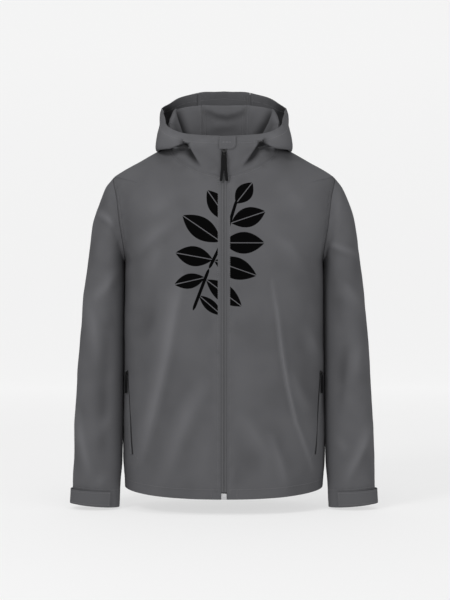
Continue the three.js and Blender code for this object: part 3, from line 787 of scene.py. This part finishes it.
sleeves = {
    "levels": 2,
    "cuffStitch": 36,
    "cuffBelow": -735,
    "seenFrom": (250, -15, -420),  # a place in the left sleeve's hollow
    "foldScale": 1.35,
    "frontTurn": (-0.15, 0.25),  # where the back's creases give way to the front's
    "waves": ((1.4, 60, 0), (0.6, 26, 4)),
    # beside the body a sleeve is calmer and comes out to meet it
    "innerTurn": (0.2, 0.85),
    "innerCalm": 0.85,
    "innerOut": 2.6,
    "innerHeights": (-665, -280, 45),
    "front": {
        "right": [
            {"through": [(-262, -150), (-232, -172), (-206, -190)], "height": 3.0, "width": 9, "lean": 0.6},
            {"through": [(-243, -392), (-245, -520), (-247, -640), (-240, -700)], "height": -1.5,
             "width": 12},
            {"through": [(-303, -557), (-292, -616), (-276, -684)], "height": 2.4, "width": 8},
            {"through": [(-290, -322), (-268, -378), (-262, -446)], "height": 1.8, "width": 11},
            {"through": [(-216, -268), (-240, -306), (-268, -330)], "height": 2.0, "width": 8},
            {"through": [(-222, -560), (-250, -600)], "height": 1.6, "width": 8},
            {"through": [(-226, -690), (-262, -708)], "height": 1.5, "width": 7},
        ],
        "left": [
            {"through": [(212, -216), (240, -228), (274, -238)], "height": 2.6, "width": 8, "lean": 0.6},
            {"through": [(246, -300), (280, -340)], "height": 2.0, "width": 10},
            {"through": [(251, -420), (240, -500), (234, -570)], "height": -1.6, "width": 11},
            {"through": [(303, -590), (276, -650), (248, -704)], "height": 2.8, "width": 8},
            {"through": [(280, -420), (268, -486)], "height": 1.5, "width": 10},
            {"through": [(226, -610), (252, -642)], "height": 1.8, "width": 8},
        ],
    },
    "back": {
        "right": [
            {"through": [(-214, -250), (-250, -272), (-282, -262)], "height": 2.6, "width": 9},
            {"through": [(-226, -400), (-262, -430), (-290, -424)], "height": 2.8, "width": 9},
            {"through": [(-224, -452), (-258, -474)], "height": 2.0, "width": 8},
            {"through": [(-264, -520), (-256, -640)], "height": -2.2, "width": 11},
            {"through": [(-300, -600), (-280, -690)], "height": 2.0, "width": 9},
        ],
        "left": [
            {"through": [(212, -244), (246, -262), (284, -270)], "height": 2.4, "width": 9},
            {"through": [(224, -392), (256, -416), (292, -428)], "height": 2.8, "width": 9},
            {"through": [(228, -446), (262, -460)], "height": 1.8, "width": 8},
            {"through": [(258, -510), (264, -650)], "height": -2.2, "width": 11},
            {"through": [(298, -580), (272, -680)], "height": 2.2, "width": 9},
        ],
    },
}


def isCuff(spot):
    return spot[2] < sleeves["cuffBelow"] * mm


def makeSleeve(side, seed):
    node = "sleeve_" + side
    sign = 1 if side == "left" else -1
    piece = copyOf(node, "sleevePanel" + side.capitalize())
    hollow = Vector(sleeves["seenFrom"]) * mm
    hollow.x *= sign
    markInside(piece, hollow, (sign, 0, 0))
    loops = rimLoops(piece)
    refine(piece, sleeves["levels"])
    points = pointsOf(piece)
    across, up = points[:, 0] / mm, points[:, 2] / mm
    out = outwardOf(points)
    ahead = soft(-out[:, 1], *sleeves["frontTurn"])
    height = sum(creaseHeight(across, up, line) for line in sleeves["front"][side]) * ahead
    height = height + sum(creaseHeight(across, up, line) for line in sleeves["back"][side]) * (1 - ahead)
    height = addWaves(height * sleeves["foldScale"], points, sleeves["waves"], seed)
    inner = soft(-sign * out[:, 0], *sleeves["innerTurn"])
    height = height * (1 - sleeves["innerCalm"] * inner)
    grooves = placesOf(rowsBeside(piece, loops, sleeves["cuffStitch"], isCuff))
    toBody = inner * between(up, *sleeves["innerHeights"])
    moveCloth(piece, out, height, seamPoints(loops), grooves, sleeves["innerOut"] * toBody)
    closePanel(piece, clothGrey, node)
    stitchRuns["sleeves"] += rowsBeside(piece, loops, sleeves["cuffStitch"], isCuff)


makeSleeve("right", 7)
makeSleeve("left", 9)

print("hood")

hood = {
    "levels": 3,
    "rimStitch": 16,
    "seamStitch": 5,
    "waves": ((0.9, 60, 0), (0.4, 24, 3)),
    "seeds": {"hood_side_right": 26, "hood_side_left": 27, "hood_centre": 28},
    "depthFade": 8,
    # which places count as the hood's rim and as the seams beside its centre
    "rim": {"crestWithin": 90, "crestAbove": 118, "sideAbove": 4, "frontAbove": -4, "frontBefore": -70},
    "seam": {"from": 20, "to": 68, "above": -70, "behind": 50, "steep": 0.6},
    # creases as seen from the front, with how far back the cloth they lie in reaches (mm)
    "folds": {
        "right": [
            {"through": [(-78, -14), (-63, -38), (-48, -62)], "height": -7.5, "width": 2.6, "lean": 4.0,
             "span": (0.36, 0.97), "depth": (-120, -60)},
            {"through": [(-108, -25), (-94, -20), (-78, -14)], "height": -5.0, "width": 2.8, "lean": 2.6,
             "span": (0.06, 0.6), "depth": (-120, -45)},
            {"through": [(-100, 72), (-92, 48), (-82, 20)], "height": -7.0, "width": 10, "lean": 0.26,
             "span": (0.05, 0.7), "depth": (25, 72)},
            {"through": [(-107, 68), (-112, 52), (-114, 38)], "height": 2.6, "width": 4, "depth": (0, 62)},
            {"through": [(-60, -4), (-30, -12)], "height": 1.4, "width": 9, "depth": (-120, -60)},
            {"through": [(-130, 20), (-104, 4), (-74, 8)], "height": 2.2, "width": 8, "depth": (-120, -40)},
        ],
        "left": [
            {"through": [(76, -10), (60, -34), (40, -60)], "height": -7.5, "width": 10.4, "lean": 0.25,
             "span": (0.36, 0.97), "depth": (-120, -60)},
            {"through": [(110, -27), (94, -21), (76, -10)], "height": -5.0, "width": 7.3, "lean": 0.38,
             "span": (0.06, 0.6), "depth": (-120, -45)},
            {"through": [(100, 72), (91, 47), (77, 21)], "height": -7.0, "width": 2.6, "lean": 3.8,
             "span": (0.05, 0.7), "depth": (25, 72)},
            {"through": [(106, 68), (112, 50), (115, 38)], "height": 2.6, "width": 4, "depth": (0, 62)},
            {"through": [(56, 4), (84, 14), (112, 2)], "height": 2.4, "width": 8, "depth": (-120, -40)},
        ],
        "centre": [
            {"through": [(-40, 76), (-14, 63), (6, 60), (26, 65), (44, 77)], "height": -3.2, "width": 6,
             "depth": (60, 92)},
            {"through": [(-30, 30), (28, 34)], "height": -1.6, "width": 9, "depth": (55, 92)},
        ],
    },
    # painted shade where the turned-back hood is deep inside
    "hollows": [
        {"at": (-121, 100, 62), "reach": (15, 46, 24), "shade": -1.5},
        {"at": (121, 100, 62), "reach": (15, 46, 24), "shade": -1.5},
        {"at": (-56, 55, 6), "reach": (34, 60, 16), "shade": -0.9},
        {"at": (56, 55, 6), "reach": (34, 60, 16), "shade": -0.9},
    ],
    # soft pulls that bring the turned-back cloth to its hanging shape
    "pulls": [
        {"at": (-118, -20, -8), "reach": (34, 62, 17), "move": (-1, 0, -14)},
        {"at": (118, -20, -8), "reach": (34, 62, 17), "move": (1, 0, -15)},
        {"at": (-104, 55, 66), "reach": (13, 22, 13), "move": (3, 0, 6)},
        {"at": (104, 55, 66), "reach": (13, 22, 13), "move": (-3, 0, 6)},
        {"at": (-130, 88, 76), "reach": (14, 32, 16), "move": (-7, 0, -4)},
        {"at": (130, 88, 76), "reach": (14, 32, 16), "move": (7, 0, -6)},
        {"at": (-116, 112, 96), "reach": (13, 30, 14), "move": (0, 0, -2)},
        {"at": (118, 112, 96), "reach": (13, 30, 14), "move": (0, 0, -1)},
        {"at": (-138, 66, 58), "reach": (16, 40, 16), "move": (-4, 0, 0)},
        {"at": (138, 66, 58), "reach": (16, 40, 16), "move": (4, 0, 0)},
        {"at": (-46, 160, 124), "reach": (24, 30, 14), "move": (0, 0, 3)},
        {"at": (46, 160, 124), "reach": (24, 30, 14), "move": (0, 0, 3)},
    ],
}


# 1 at the spot, fading out over the reach to each side.
def shareNear(points, spot):
    off = (points / mm - np.array(spot["at"])) / np.array(spot["reach"])
    return np.exp(-np.sum(off ** 2, axis=1))


def shapeHood(piece, folds, seed, seams, stitched):
    points = pointsOf(piece)
    for pull in hood["pulls"]:
        points = points + shareNear(points, pull)[:, None] * np.array(pull["move"]) * mm
    setPoints(piece, points)
    inner = insidePoints(piece)
    out = normalsOf(piece) * (1 - 2 * inner)[:, None]
    height = np.zeros(len(points))
    shaded = np.zeros(len(points))
    for line in folds:
        near, far = line["depth"]
        here = between(points[:, 1] / mm, near, far, hood["depthFade"])
        bump = creaseHeight(points[:, 0] / mm, points[:, 2] / mm, line) * here
        # behind the neck the inner face is seen, and a trough gets painted shade from the side it is seen
        # from
        toward = -1 if near > 0 else 1
        height = height + bump * toward
        shaded = shaded + bump * (1 - toward) / cloth["fullShade"]
    height = addWaves(height, points, hood["waves"], seed)
    # painted shade on the inner face where the hood is deep
    for hollow in hood["hollows"]:
        shaded += hollow["shade"] * shareNear(points, hollow) * inner
    moveCloth(piece, out, height, seams, stitched, shaded=shaded)


def isHoodRim(spot):
    across, deep, up = spot[0] / mm, spot[1] / mm, spot[2] / mm
    rim = hood["rim"]
    above = rim["crestAbove"] if abs(across) < rim["crestWithin"] else rim["sideAbove"]
    return up > above or (up > rim["frontAbove"] and deep < rim["frontBefore"])


def isCentreSeam(spot):
    across, deep, up = spot[0] / mm, spot[1] / mm, spot[2] / mm
    seam = hood["seam"]
    beside = seam["from"] < abs(across) < seam["to"]
    return beside and up > seam["above"] and deep > seam["behind"] and not isHoodRim(spot)


def makeHoodPanel(node, name, folds, start, direction):
    piece = copyOf(node, name)
    markInside(piece, Vector(start) * mm, direction)
    loops = rimLoops(piece)
    refine(piece, hood["levels"])
    grooves = placesOf(rowsBeside(piece, loops, hood["seamStitch"], isCentreSeam, face=-1))
    shapeHood(piece, folds, hood["seeds"][node], seamPoints(loops), grooves)
    closePanel(piece, clothGrey, node)
    for face in (1, -1):
        stitchRuns["hood"] += rowsBeside(piece, loops, hood["seamStitch"], isCentreSeam, face=face)
        stitchRuns["hood"] += rowsBeside(piece, loops, hood["rimStitch"], isHoodRim, face=face)
    if node == "hood_centre":  # its rims run across, its seams don't
        seamLoops.append((loops, lambda p, along: abs(along.x) < hood["seam"]["steep"]))


makeHoodPanel("hood_side_right", "hoodSideRight", hood["folds"]["right"], (-30, 0, -20), (0, -1, 0))
makeHoodPanel("hood_side_left", "hoodSideLeft", hood["folds"]["left"], (30, 0, -20), (0, -1, 0))
makeHoodPanel("hood_centre", "hoodCentre", hood["folds"]["centre"], (0, 0, 30), (0, 1, 0))

print("chin guard, tabs and welts")

# tabHeight and boxTall are shares of the solid's height
trims = {"rimRound": 0.4, "levels": 2, "sharpFrom": 40, "tabInset": 3.5, "weltInset": 2.2, "tabHeight": 0.8,
         "boxTall": 1.6, "tabAround": (270, -30)}
pocketZip = {"narrow": 0.5, "levels": 2, "rowHeight": 7}


def isAnywhere(spot):
    return True


# Makes a piece taller or lower from its foot, with its rim loops.
def stretchUp(piece, share, loops=()):
    points = pointsOf(piece)
    foot = points[:, 2].min()
    for rows in (points, *loops):
        rows[:, 2] = foot + (rows[:, 2] - foot) * share
    setPoints(piece, points)


# A tab lies round the middle of its sleeve, a welt round the middle of the body.
def markTrim(piece, isTab):
    middle = sum((v.co for v in piece.data.vertices), Vector()) / len(piece.data.vertices)
    hollow = Vector((0, 0, middle.z))
    if isTab:
        hollow.x = math.copysign(trims["tabAround"][0] * mm, middle.x)
        hollow.y = trims["tabAround"][1] * mm
    markInside(piece, hollow, (middle - hollow).normalized())


def makeTrim(node, name, inset):
    piece = copyOf(node, name, sharpFrom=trims["sharpFrom"])
    isTab = "tab" in node
    markTrim(piece, isTab)
    loops = rimLoops(piece)
    refine(piece, trims["levels"])
    if isTab:
        stretchUp(piece, trims["tabHeight"], loops)
    roundRims(piece, trims["rimRound"])
    layClothMap(piece)
    clothPieces[node] = finishPiece(piece, clothGrey, "shell_cloth", "jacket", node)
    stitchRuns["tabs"] += rowsBeside(piece, loops, inset, isAnywhere)


# A copy of a small solid, with its edges rounded; narrow is a share of its width.
def dressNode(node, name, material, slot, ridesOn, rim=0.25, levels=0, narrow=1):
    piece = copyOf(node, name, sharpFrom=trims["sharpFrom"], wall=False)
    if levels:
        refine(piece, levels)
    if narrow != 1:
        points = pointsOf(piece)
        rows = np.round(points[:, 2] / (pocketZip["rowHeight"] * mm)).astype(int)
        for row in np.unique(rows):
            here = rows == row
            middle = points[here, :2].mean(axis=0)
            points[here, :2] = middle + (points[here, :2] - middle) * narrow
        setPoints(piece, points)
    roundRims(piece, rim)
    layClothMap(piece)
    return finishPiece(piece, material, slot, ridesOn, node)


clothPieces["chin_guard"] = dressNode("chin_guard", "chinGuard", clothGrey, "shell_cloth", "jacket",
                                      rim=trims["rimRound"], levels=trims["levels"])
makeTrim("cuff_tab_right", "cuffTabRight", trims["tabInset"])
makeTrim("cuff_tab_left", "cuffTabLeft", trims["tabInset"])
makeTrim("pocket_welt_right", "pocketWeltRight", trims["weltInset"])
makeTrim("pocket_welt_left", "pocketWeltLeft", trims["weltInset"])

print("zips and pulls")

clothPieces["zip_tape"] = dressNode("zip_tape", "zipTape", tapeGrey, "grey_tape", "jacket",
                                    levels=trims["levels"])
dressNode("pocket_zip_right", "pocketZipRight", tapeBlack, "black_tape", "jacket",
          levels=pocketZip["levels"], narrow=pocketZip["narrow"])
dressNode("pocket_zip_left", "pocketZipLeft", tapeBlack, "black_tape", "jacket",
          levels=pocketZip["levels"], narrow=pocketZip["narrow"])
zipBox = dressNode("zip_box", "zipBox", boxMetal, "bare_metal", "jacket")
stretchUp(zipBox, trims["boxTall"])
dressNode("zip_slider", "zipSlider", sliderBlack, "black_metal", "jacket")
dressNode("pocket_right_slider", "pocketSliderRight", sliderBlack, "black_metal", "jacket")
dressNode("pocket_left_slider", "pocketSliderLeft", sliderBlack, "black_metal", "jacket")
dressNode("zip_pull", "zipPull", pullBlack, "pull_plastic", "main_pull")
dressNode("pocket_right_pull", "pocketPullRight", pullBlack, "pull_plastic", "right_pocket_pull")
dressNode("pocket_left_pull", "pocketPullLeft", pullBlack, "pull_plastic", "left_pocket_pull")

# each half of the chain is a strip from fromX to toX, with a rolled edge and slanting ribs beside the middle
zipChain = {"fromX": 0.22, "toX": 5.4, "top": -2, "foot": -716, "columns": 8, "rows": 360, "frontAt": 2.5,
            "rollAt": 1.1, "rollHigh": 0.55, "rollWide": 0.75, "thick": 0.7, "smoothTo": 40,
            "ribPitch": 2.4, "rib": (2.0, 0.7, 0.5), "ribSlant": (0.9, 0.42), "ribsClear": (4, 3)}
chainTree = treeOf(frame["nodes"]["zip_chain"])
inFront = -500 * mm  # rays that look for a surface start here


def chainFront(x, z):
    hit = chainTree.ray_cast(Vector((x, inFront, z)), Vector((0, 1, 0)))[0]
    return hit.y if hit else None


def makeZipChain():
    deselectAll()
    bpy.ops.mesh.primitive_grid_add(
        x_subdivisions=zipChain["columns"], y_subdivisions=zipChain["rows"], size=1
    )
    half = bpy.context.object
    half.name = "zipChain"
    points = pointsOf(half)
    x = zipChain["fromX"] + (points[:, 0] + 0.5) * (zipChain["toX"] - zipChain["fromX"])
    z = zipChain["foot"] + (points[:, 1] + 0.5) * (zipChain["top"] - zipChain["foot"])
    levels = np.linspace(zipChain["foot"], zipChain["top"], zipChain["rows"] + 1)
    fronts = [chainFront(zipChain["frontAt"] * mm, level * mm) for level in levels]
    known = [(level, front) for level, front in zip(levels, fronts) if front is not None]
    knownLevels, knownFronts = zip(*known)
    y = np.interp(z, knownLevels, knownFronts)
    y = y - zipChain["rollHigh"] * mm * np.exp(-(((x - zipChain["rollAt"]) / zipChain["rollWide"]) ** 2))
    setPoints(half, np.column_stack([x * mm, y, z * mm]))
    pick(half)
    bpy.ops.object.mode_set(mode="EDIT")
    bpy.ops.mesh.select_all(action="SELECT")
    bpy.ops.mesh.normals_make_consistent(inside=False)
    bpy.ops.object.mode_set(mode="OBJECT")
    if half.data.polygons[0].normal.y > 0:
        bpy.ops.object.mode_set(mode="EDIT")
        bpy.ops.mesh.flip_normals()
        bpy.ops.object.mode_set(mode="OBJECT")
    applyModifier(half, "SOLIDIFY", thickness=zipChain["thick"] * mm, offset=-1)
    applyModifier(half, "MIRROR", use_axis=(True, False, False), use_mirror_merge=False)
    bpy.ops.object.shade_smooth_by_angle(angle=math.radians(zipChain["smoothTo"]))
    layClothMap(half)
    finishPiece(half, tapeGrey, "grey_tape", "jacket", "zip_chain")
    ribs = []
    clearBelow, clearAbove = zipChain["ribsClear"]
    level = zipChain["foot"] + clearBelow
    while level < zipChain["top"] - clearAbove:
        front = float(np.interp(level, knownLevels, knownFronts))
        for side in (-1, 1):
            spot = Vector((side * zipChain["rollAt"] * mm, front - zipChain["rollHigh"] * mm, level * mm))
            slant = Vector((side * zipChain["ribSlant"][0], 0, zipChain["ribSlant"][1])).normalized()
            ribs.append((spot, slant, Vector((0, -1, 0))))
        level += zipChain["ribPitch"]
    return ribs


zipRibs = makeZipChain()

print("sewing")

# the length, width and height of each kind of stitch, and how far it is raised
sewing = {"stitch": (2.9, 0.55, 0.45), "guardStitch": (2.0, 0.45, 0.4), "tack": (1.6, 0.6, 0.7),
          "raised": 0.05}


# One bead of unit size, which every stitch stretches.
def makeStitch():
    deselectAll()
    bpy.ops.mesh.primitive_uv_sphere_add(
        segments=6, ring_count=4, radius=0.5, rotation=(0, math.radians(90), 0)
    )
    stitch = bpy.context.object
    bpy.ops.object.transform_apply(location=False, rotation=True, scale=False)
    return stitch


oneStitch = makeStitch()


# Adds a piece from points and faces that a loop has worked out.
def addMesh(name, points, faces):
    mesh = bpy.data.meshes.new(name)
    mesh.from_pydata(points, [], faces)
    piece = bpy.data.objects.new(name, mesh)
    scene.collection.objects.link(piece)
    pick(piece)
    return piece


def sewRows(name, runs, material, slot, size=sewing["stitch"]):
    shape = pointsOf(oneStitch)
    faces = [list(face.vertices) for face in oneStitch.data.polygons]
    points, allFaces = [], []
    for run in runs:
        for place, along, outward in run:
            aside = outward.cross(along).normalized()
            turn = np.array([along * size[0], aside * size[1], outward * size[2]]) * mm
            first = len(points) * len(shape)
            points.append(shape @ turn + np.array(place + outward * sewing["raised"] * mm))
            allFaces += [[v + first for v in face] for face in faces]
    piece = addMesh(name, np.vstack(points).tolist(), allFaces)
    bpy.ops.object.shade_smooth()
    finishPiece(piece, material, slot, "jacket")


# A row along a line seen from the front, (across, up), laid on a piece.
def rowSeen(piece, line, pitch):
    tree = treeOf(piece)
    flat = evenly(np.array([(x * mm, 0, z * mm) for x, z in line]), pitch * mm)
    run = []
    for k, (x, y, z) in enumerate(flat):
        place, normal = tree.ray_cast(Vector((x, inFront, z)), Vector((0, 1, 0)))[:2]
        if place:
            along = Vector(flat[min(k + 1, len(flat) - 1)] - flat[max(k - 1, 0)])
            along = (along - normal * along.dot(normal)).normalized()
            run.append((place, along, normal))
    return run


# the tape that closes the seams lies in the middle of the walls
seamTape = {"halfWidth": 2.0, "halfThick": 0.25, "deep": 0.75, "pitch": 3, "overrun": 0.5, "fewest": 3}
tapeCorners = ((-1, 1), (1, 1), (1, -1), (-1, -1))


# Rows of (place, outward, side) along the loops, where the loop is a seam.
def tapeRowsAlong(loops, where):
    tapeRows = []
    for loop in loops:
        rows = evenly(loop, seamTape["pitch"] * mm)
        row = []
        for k in range(len(rows)):
            spot = Vector(rows[k, :3])
            ahead, behind = rows[min(k + 1, len(rows) - 1), :3], rows[max(k - 1, 0), :3]
            along = (Vector(ahead) - Vector(behind)).normalized()
            if where(spot, along):
                outward = Vector(rows[k, 3:6]).normalized()
                row.append((spot, outward, outward.cross(along).normalized()))
            elif row:
                tapeRows.append(row)
                row = []
        if row:
            tapeRows.append(row)
    return [row for row in tapeRows if len(row) > seamTape["fewest"]]


# Takes a row on to the rims, where the seam's corner was left out.
def runOn(row):
    for end, before in ((0, 1), (-1, -2)):
        spot, outward, side = row[end]
        row[end] = (spot + (spot - row[before][0]) * seamTape["overrun"], outward, side)


def laySeamTapes(rows):
    points, faces = [], []
    for row in rows:
        for k, (place, outward, side) in enumerate(row):
            middle = place - outward * seamTape["deep"] * mm
            for across, up in tapeCorners:
                points.append(middle + side * across * seamTape["halfWidth"] * mm
                              + outward * up * seamTape["halfThick"] * mm)
            last = len(points) - 1
            if k:
                for c in range(4):
                    d = (c + 1) % 4
                    faces.append([last - 7 + c, last - 7 + d, last - 3 + d, last - 3 + c])
    piece = addMesh("seamTapes", [tuple(p) for p in points], faces)
    bpy.ops.object.mode_set(mode="EDIT")
    bpy.ops.mesh.select_all(action="SELECT")
    bpy.ops.mesh.normals_make_consistent(inside=False)
    bpy.ops.object.mode_set(mode="OBJECT")
    finishPiece(piece, seamDark, "shell_cloth", "jacket")


# lines seen from the front, (across, up): round the chin guard's edge, across it for each tack, and at the
# foot of the left pocket
guardSewing = {"edge": [(-7.4, 2.4), (-7.4, -20.6), (15, -20.6), (19.2, -19), (21, -15), (21, 2.4)],
               "edgePitch": 2.6, "tacksAt": (-1, 5.5, 12), "tackHeight": -10.5, "tackHalf": 1.4,
               "tackPitch": 0.7}
pocketFoot = {"line": [(183, -641), (180, -650), (176, -653)], "pitch": 3.4}

chinGuard = clothPieces["chin_guard"]
guardRow = rowSeen(chinGuard, guardSewing["edge"], guardSewing["edgePitch"])
tacks = []
for middle in guardSewing["tacksAt"]:
    half, level = guardSewing["tackHalf"], guardSewing["tackHeight"]
    tackLine = [(middle - half, level), (middle + half, level)]
    tacks.append(rowSeen(chinGuard, tackLine, guardSewing["tackPitch"]))
for sign, side in ((-1, "right"), (1, "left")):
    footLine = [(sign * x, z) for x, z in pocketFoot["line"]]
    stitchRuns["body"].append(rowSeen(clothPieces["front_" + side], footLine, pocketFoot["pitch"]))
sewRows("bodyStitches", stitchRuns["body"], threadGrey, "shell_cloth")
sewRows("cuffStitches", stitchRuns["sleeves"], threadGrey, "shell_cloth")
sewRows("hoodStitches", stitchRuns["hood"], threadGrey, "shell_cloth")
sewRows("tabStitches", stitchRuns["tabs"], threadGrey, "shell_cloth")
sewRows("guardStitches", [guardRow], threadGrey, "shell_cloth", sewing["guardStitch"])
sewRows("guardTacks", tacks, threadLight, "shell_cloth", sewing["tack"])
sewRows("zipRibs", [zipRibs], tapeGrey, "grey_tape", zipChain["rib"])
tapeRows = [row for loops, where in seamLoops for row in tapeRowsAlong(loops, where)]
for row in tapeRows:
    runOn(row)
laySeamTapes(tapeRows)
bpy.data.objects.remove(oneStitch)

print("floor and light")

# metres: floor is its level, near and wall its front and back edges, bend the round between floor and wall
studio = {"floor": -0.7625, "wall": 6.0, "wallHeight": 6.0, "near": -7.0, "bend": 2.0, "bendSteps": 24,
          "half": 9.0, "tone": 0.3, "roughness": 0.9, "specular": 0.1, "air": 0.35, "glowFrom": 0.0,
          "glowTo": 4.0, "glowNear": 0.63, "glowFar": 0.72, "aimHeight": -0.35, "closeTo": 0.01}


def makeFloor():
    deselectAll()
    bpy.ops.mesh.primitive_plane_add(size=1, location=(0, 0, 0))
    floor = bpy.context.object
    floor.name = "floor"
    deep = studio["wall"] - studio["near"]
    floor.data.transform(Matrix.Diagonal((2 * studio["half"], deep, 1, 1)))
    floor.data.transform(Matrix.Translation((0, studio["near"] + deep / 2, studio["floor"])))
    bpy.ops.object.mode_set(mode="EDIT")
    bpy.ops.mesh.select_mode(type="EDGE")
    bpy.ops.mesh.select_all(action="DESELECT")
    bpy.ops.object.mode_set(mode="OBJECT")
    for edge in floor.data.edges:
        ends = [floor.data.vertices[v].co for v in edge.vertices]
        edge.select = all(p.y > studio["wall"] - studio["closeTo"] for p in ends)
    bpy.ops.object.mode_set(mode="EDIT")
    bpy.ops.mesh.extrude_region_move(TRANSFORM_OT_translate={"value": (0, 0, studio["wallHeight"])})
    bpy.ops.object.mode_set(mode="OBJECT")
    for edge in floor.data.edges:
        ends = [floor.data.vertices[v].co for v in edge.vertices]
        edge.select = all(
            abs(p.y - studio["wall"]) < studio["closeTo"] and p.z < studio["floor"] + studio["closeTo"]
            for p in ends
        )
    bpy.ops.object.mode_set(mode="EDIT")
    bpy.ops.mesh.bevel(offset=studio["bend"], segments=studio["bendSteps"], affect="EDGES")
    bpy.ops.object.mode_set(mode="OBJECT")
    bpy.ops.object.shade_smooth()
    material, tree, shader = newMaterial("paleSweep", studio["roughness"], specular=studio["specular"])
    shader.inputs["Base Color"].default_value = (studio["tone"], studio["tone"], studio["tone"], 1)
    shader.inputs["Emission Color"].default_value = (1, 1, 1, 1)
    place = shaderNode(tree, "TexCoord").outputs["Object"]
    parts = shaderNode(tree, "SeparateXYZ")
    link(tree, place, parts.inputs[0])
    glow = shaderNode(tree, "MapRange")
    link(tree, parts.outputs[1], glow.inputs["Value"])
    glow.inputs["From Min"].default_value = studio["glowFrom"]
    glow.inputs["From Max"].default_value = studio["glowTo"]
    glow.inputs["To Min"].default_value = studio["glowNear"]
    glow.inputs["To Max"].default_value = studio["glowFar"]
    link(tree, glow.outputs[0], shader.inputs["Emission Strength"])
    floor.data.materials.append(material)


makeFloor()

# places and sizes in metres, power in watts
lamps = [
    {"name": "key", "at": (-1.6, -2.1, 1.8), "size": 0.8, "power": 37},
    {"name": "fillRight", "at": (2.2, -2.5, 0.3), "size": 1.6, "power": 12},
    {"name": "top", "at": (0.1, -0.7, 2.2), "size": 1.2, "power": 16},
    {"name": "front", "at": (0.2, -3.2, 0.1), "size": 2.2, "power": 12},
]
for lamp in lamps:
    bpy.ops.object.light_add(type="AREA", location=lamp["at"])
    light = bpy.context.object
    light.name = lamp["name"]
    light.data.size = lamp["size"]
    light.data.energy = lamp["power"]
    aim = Vector((0, 0, studio["aimHeight"])) - Vector(lamp["at"])
    light.rotation_euler = aim.to_track_quat("-Z", "Y").to_euler()
world = bpy.data.worlds.new("studioAir")
world.use_nodes = True
world.node_tree.nodes["Background"].inputs[0].default_value = (1, 1, 1, 1)
world.node_tree.nodes["Background"].inputs[1].default_value = studio["air"]
scene.world = world
scene.view_settings.view_transform = "Standard"
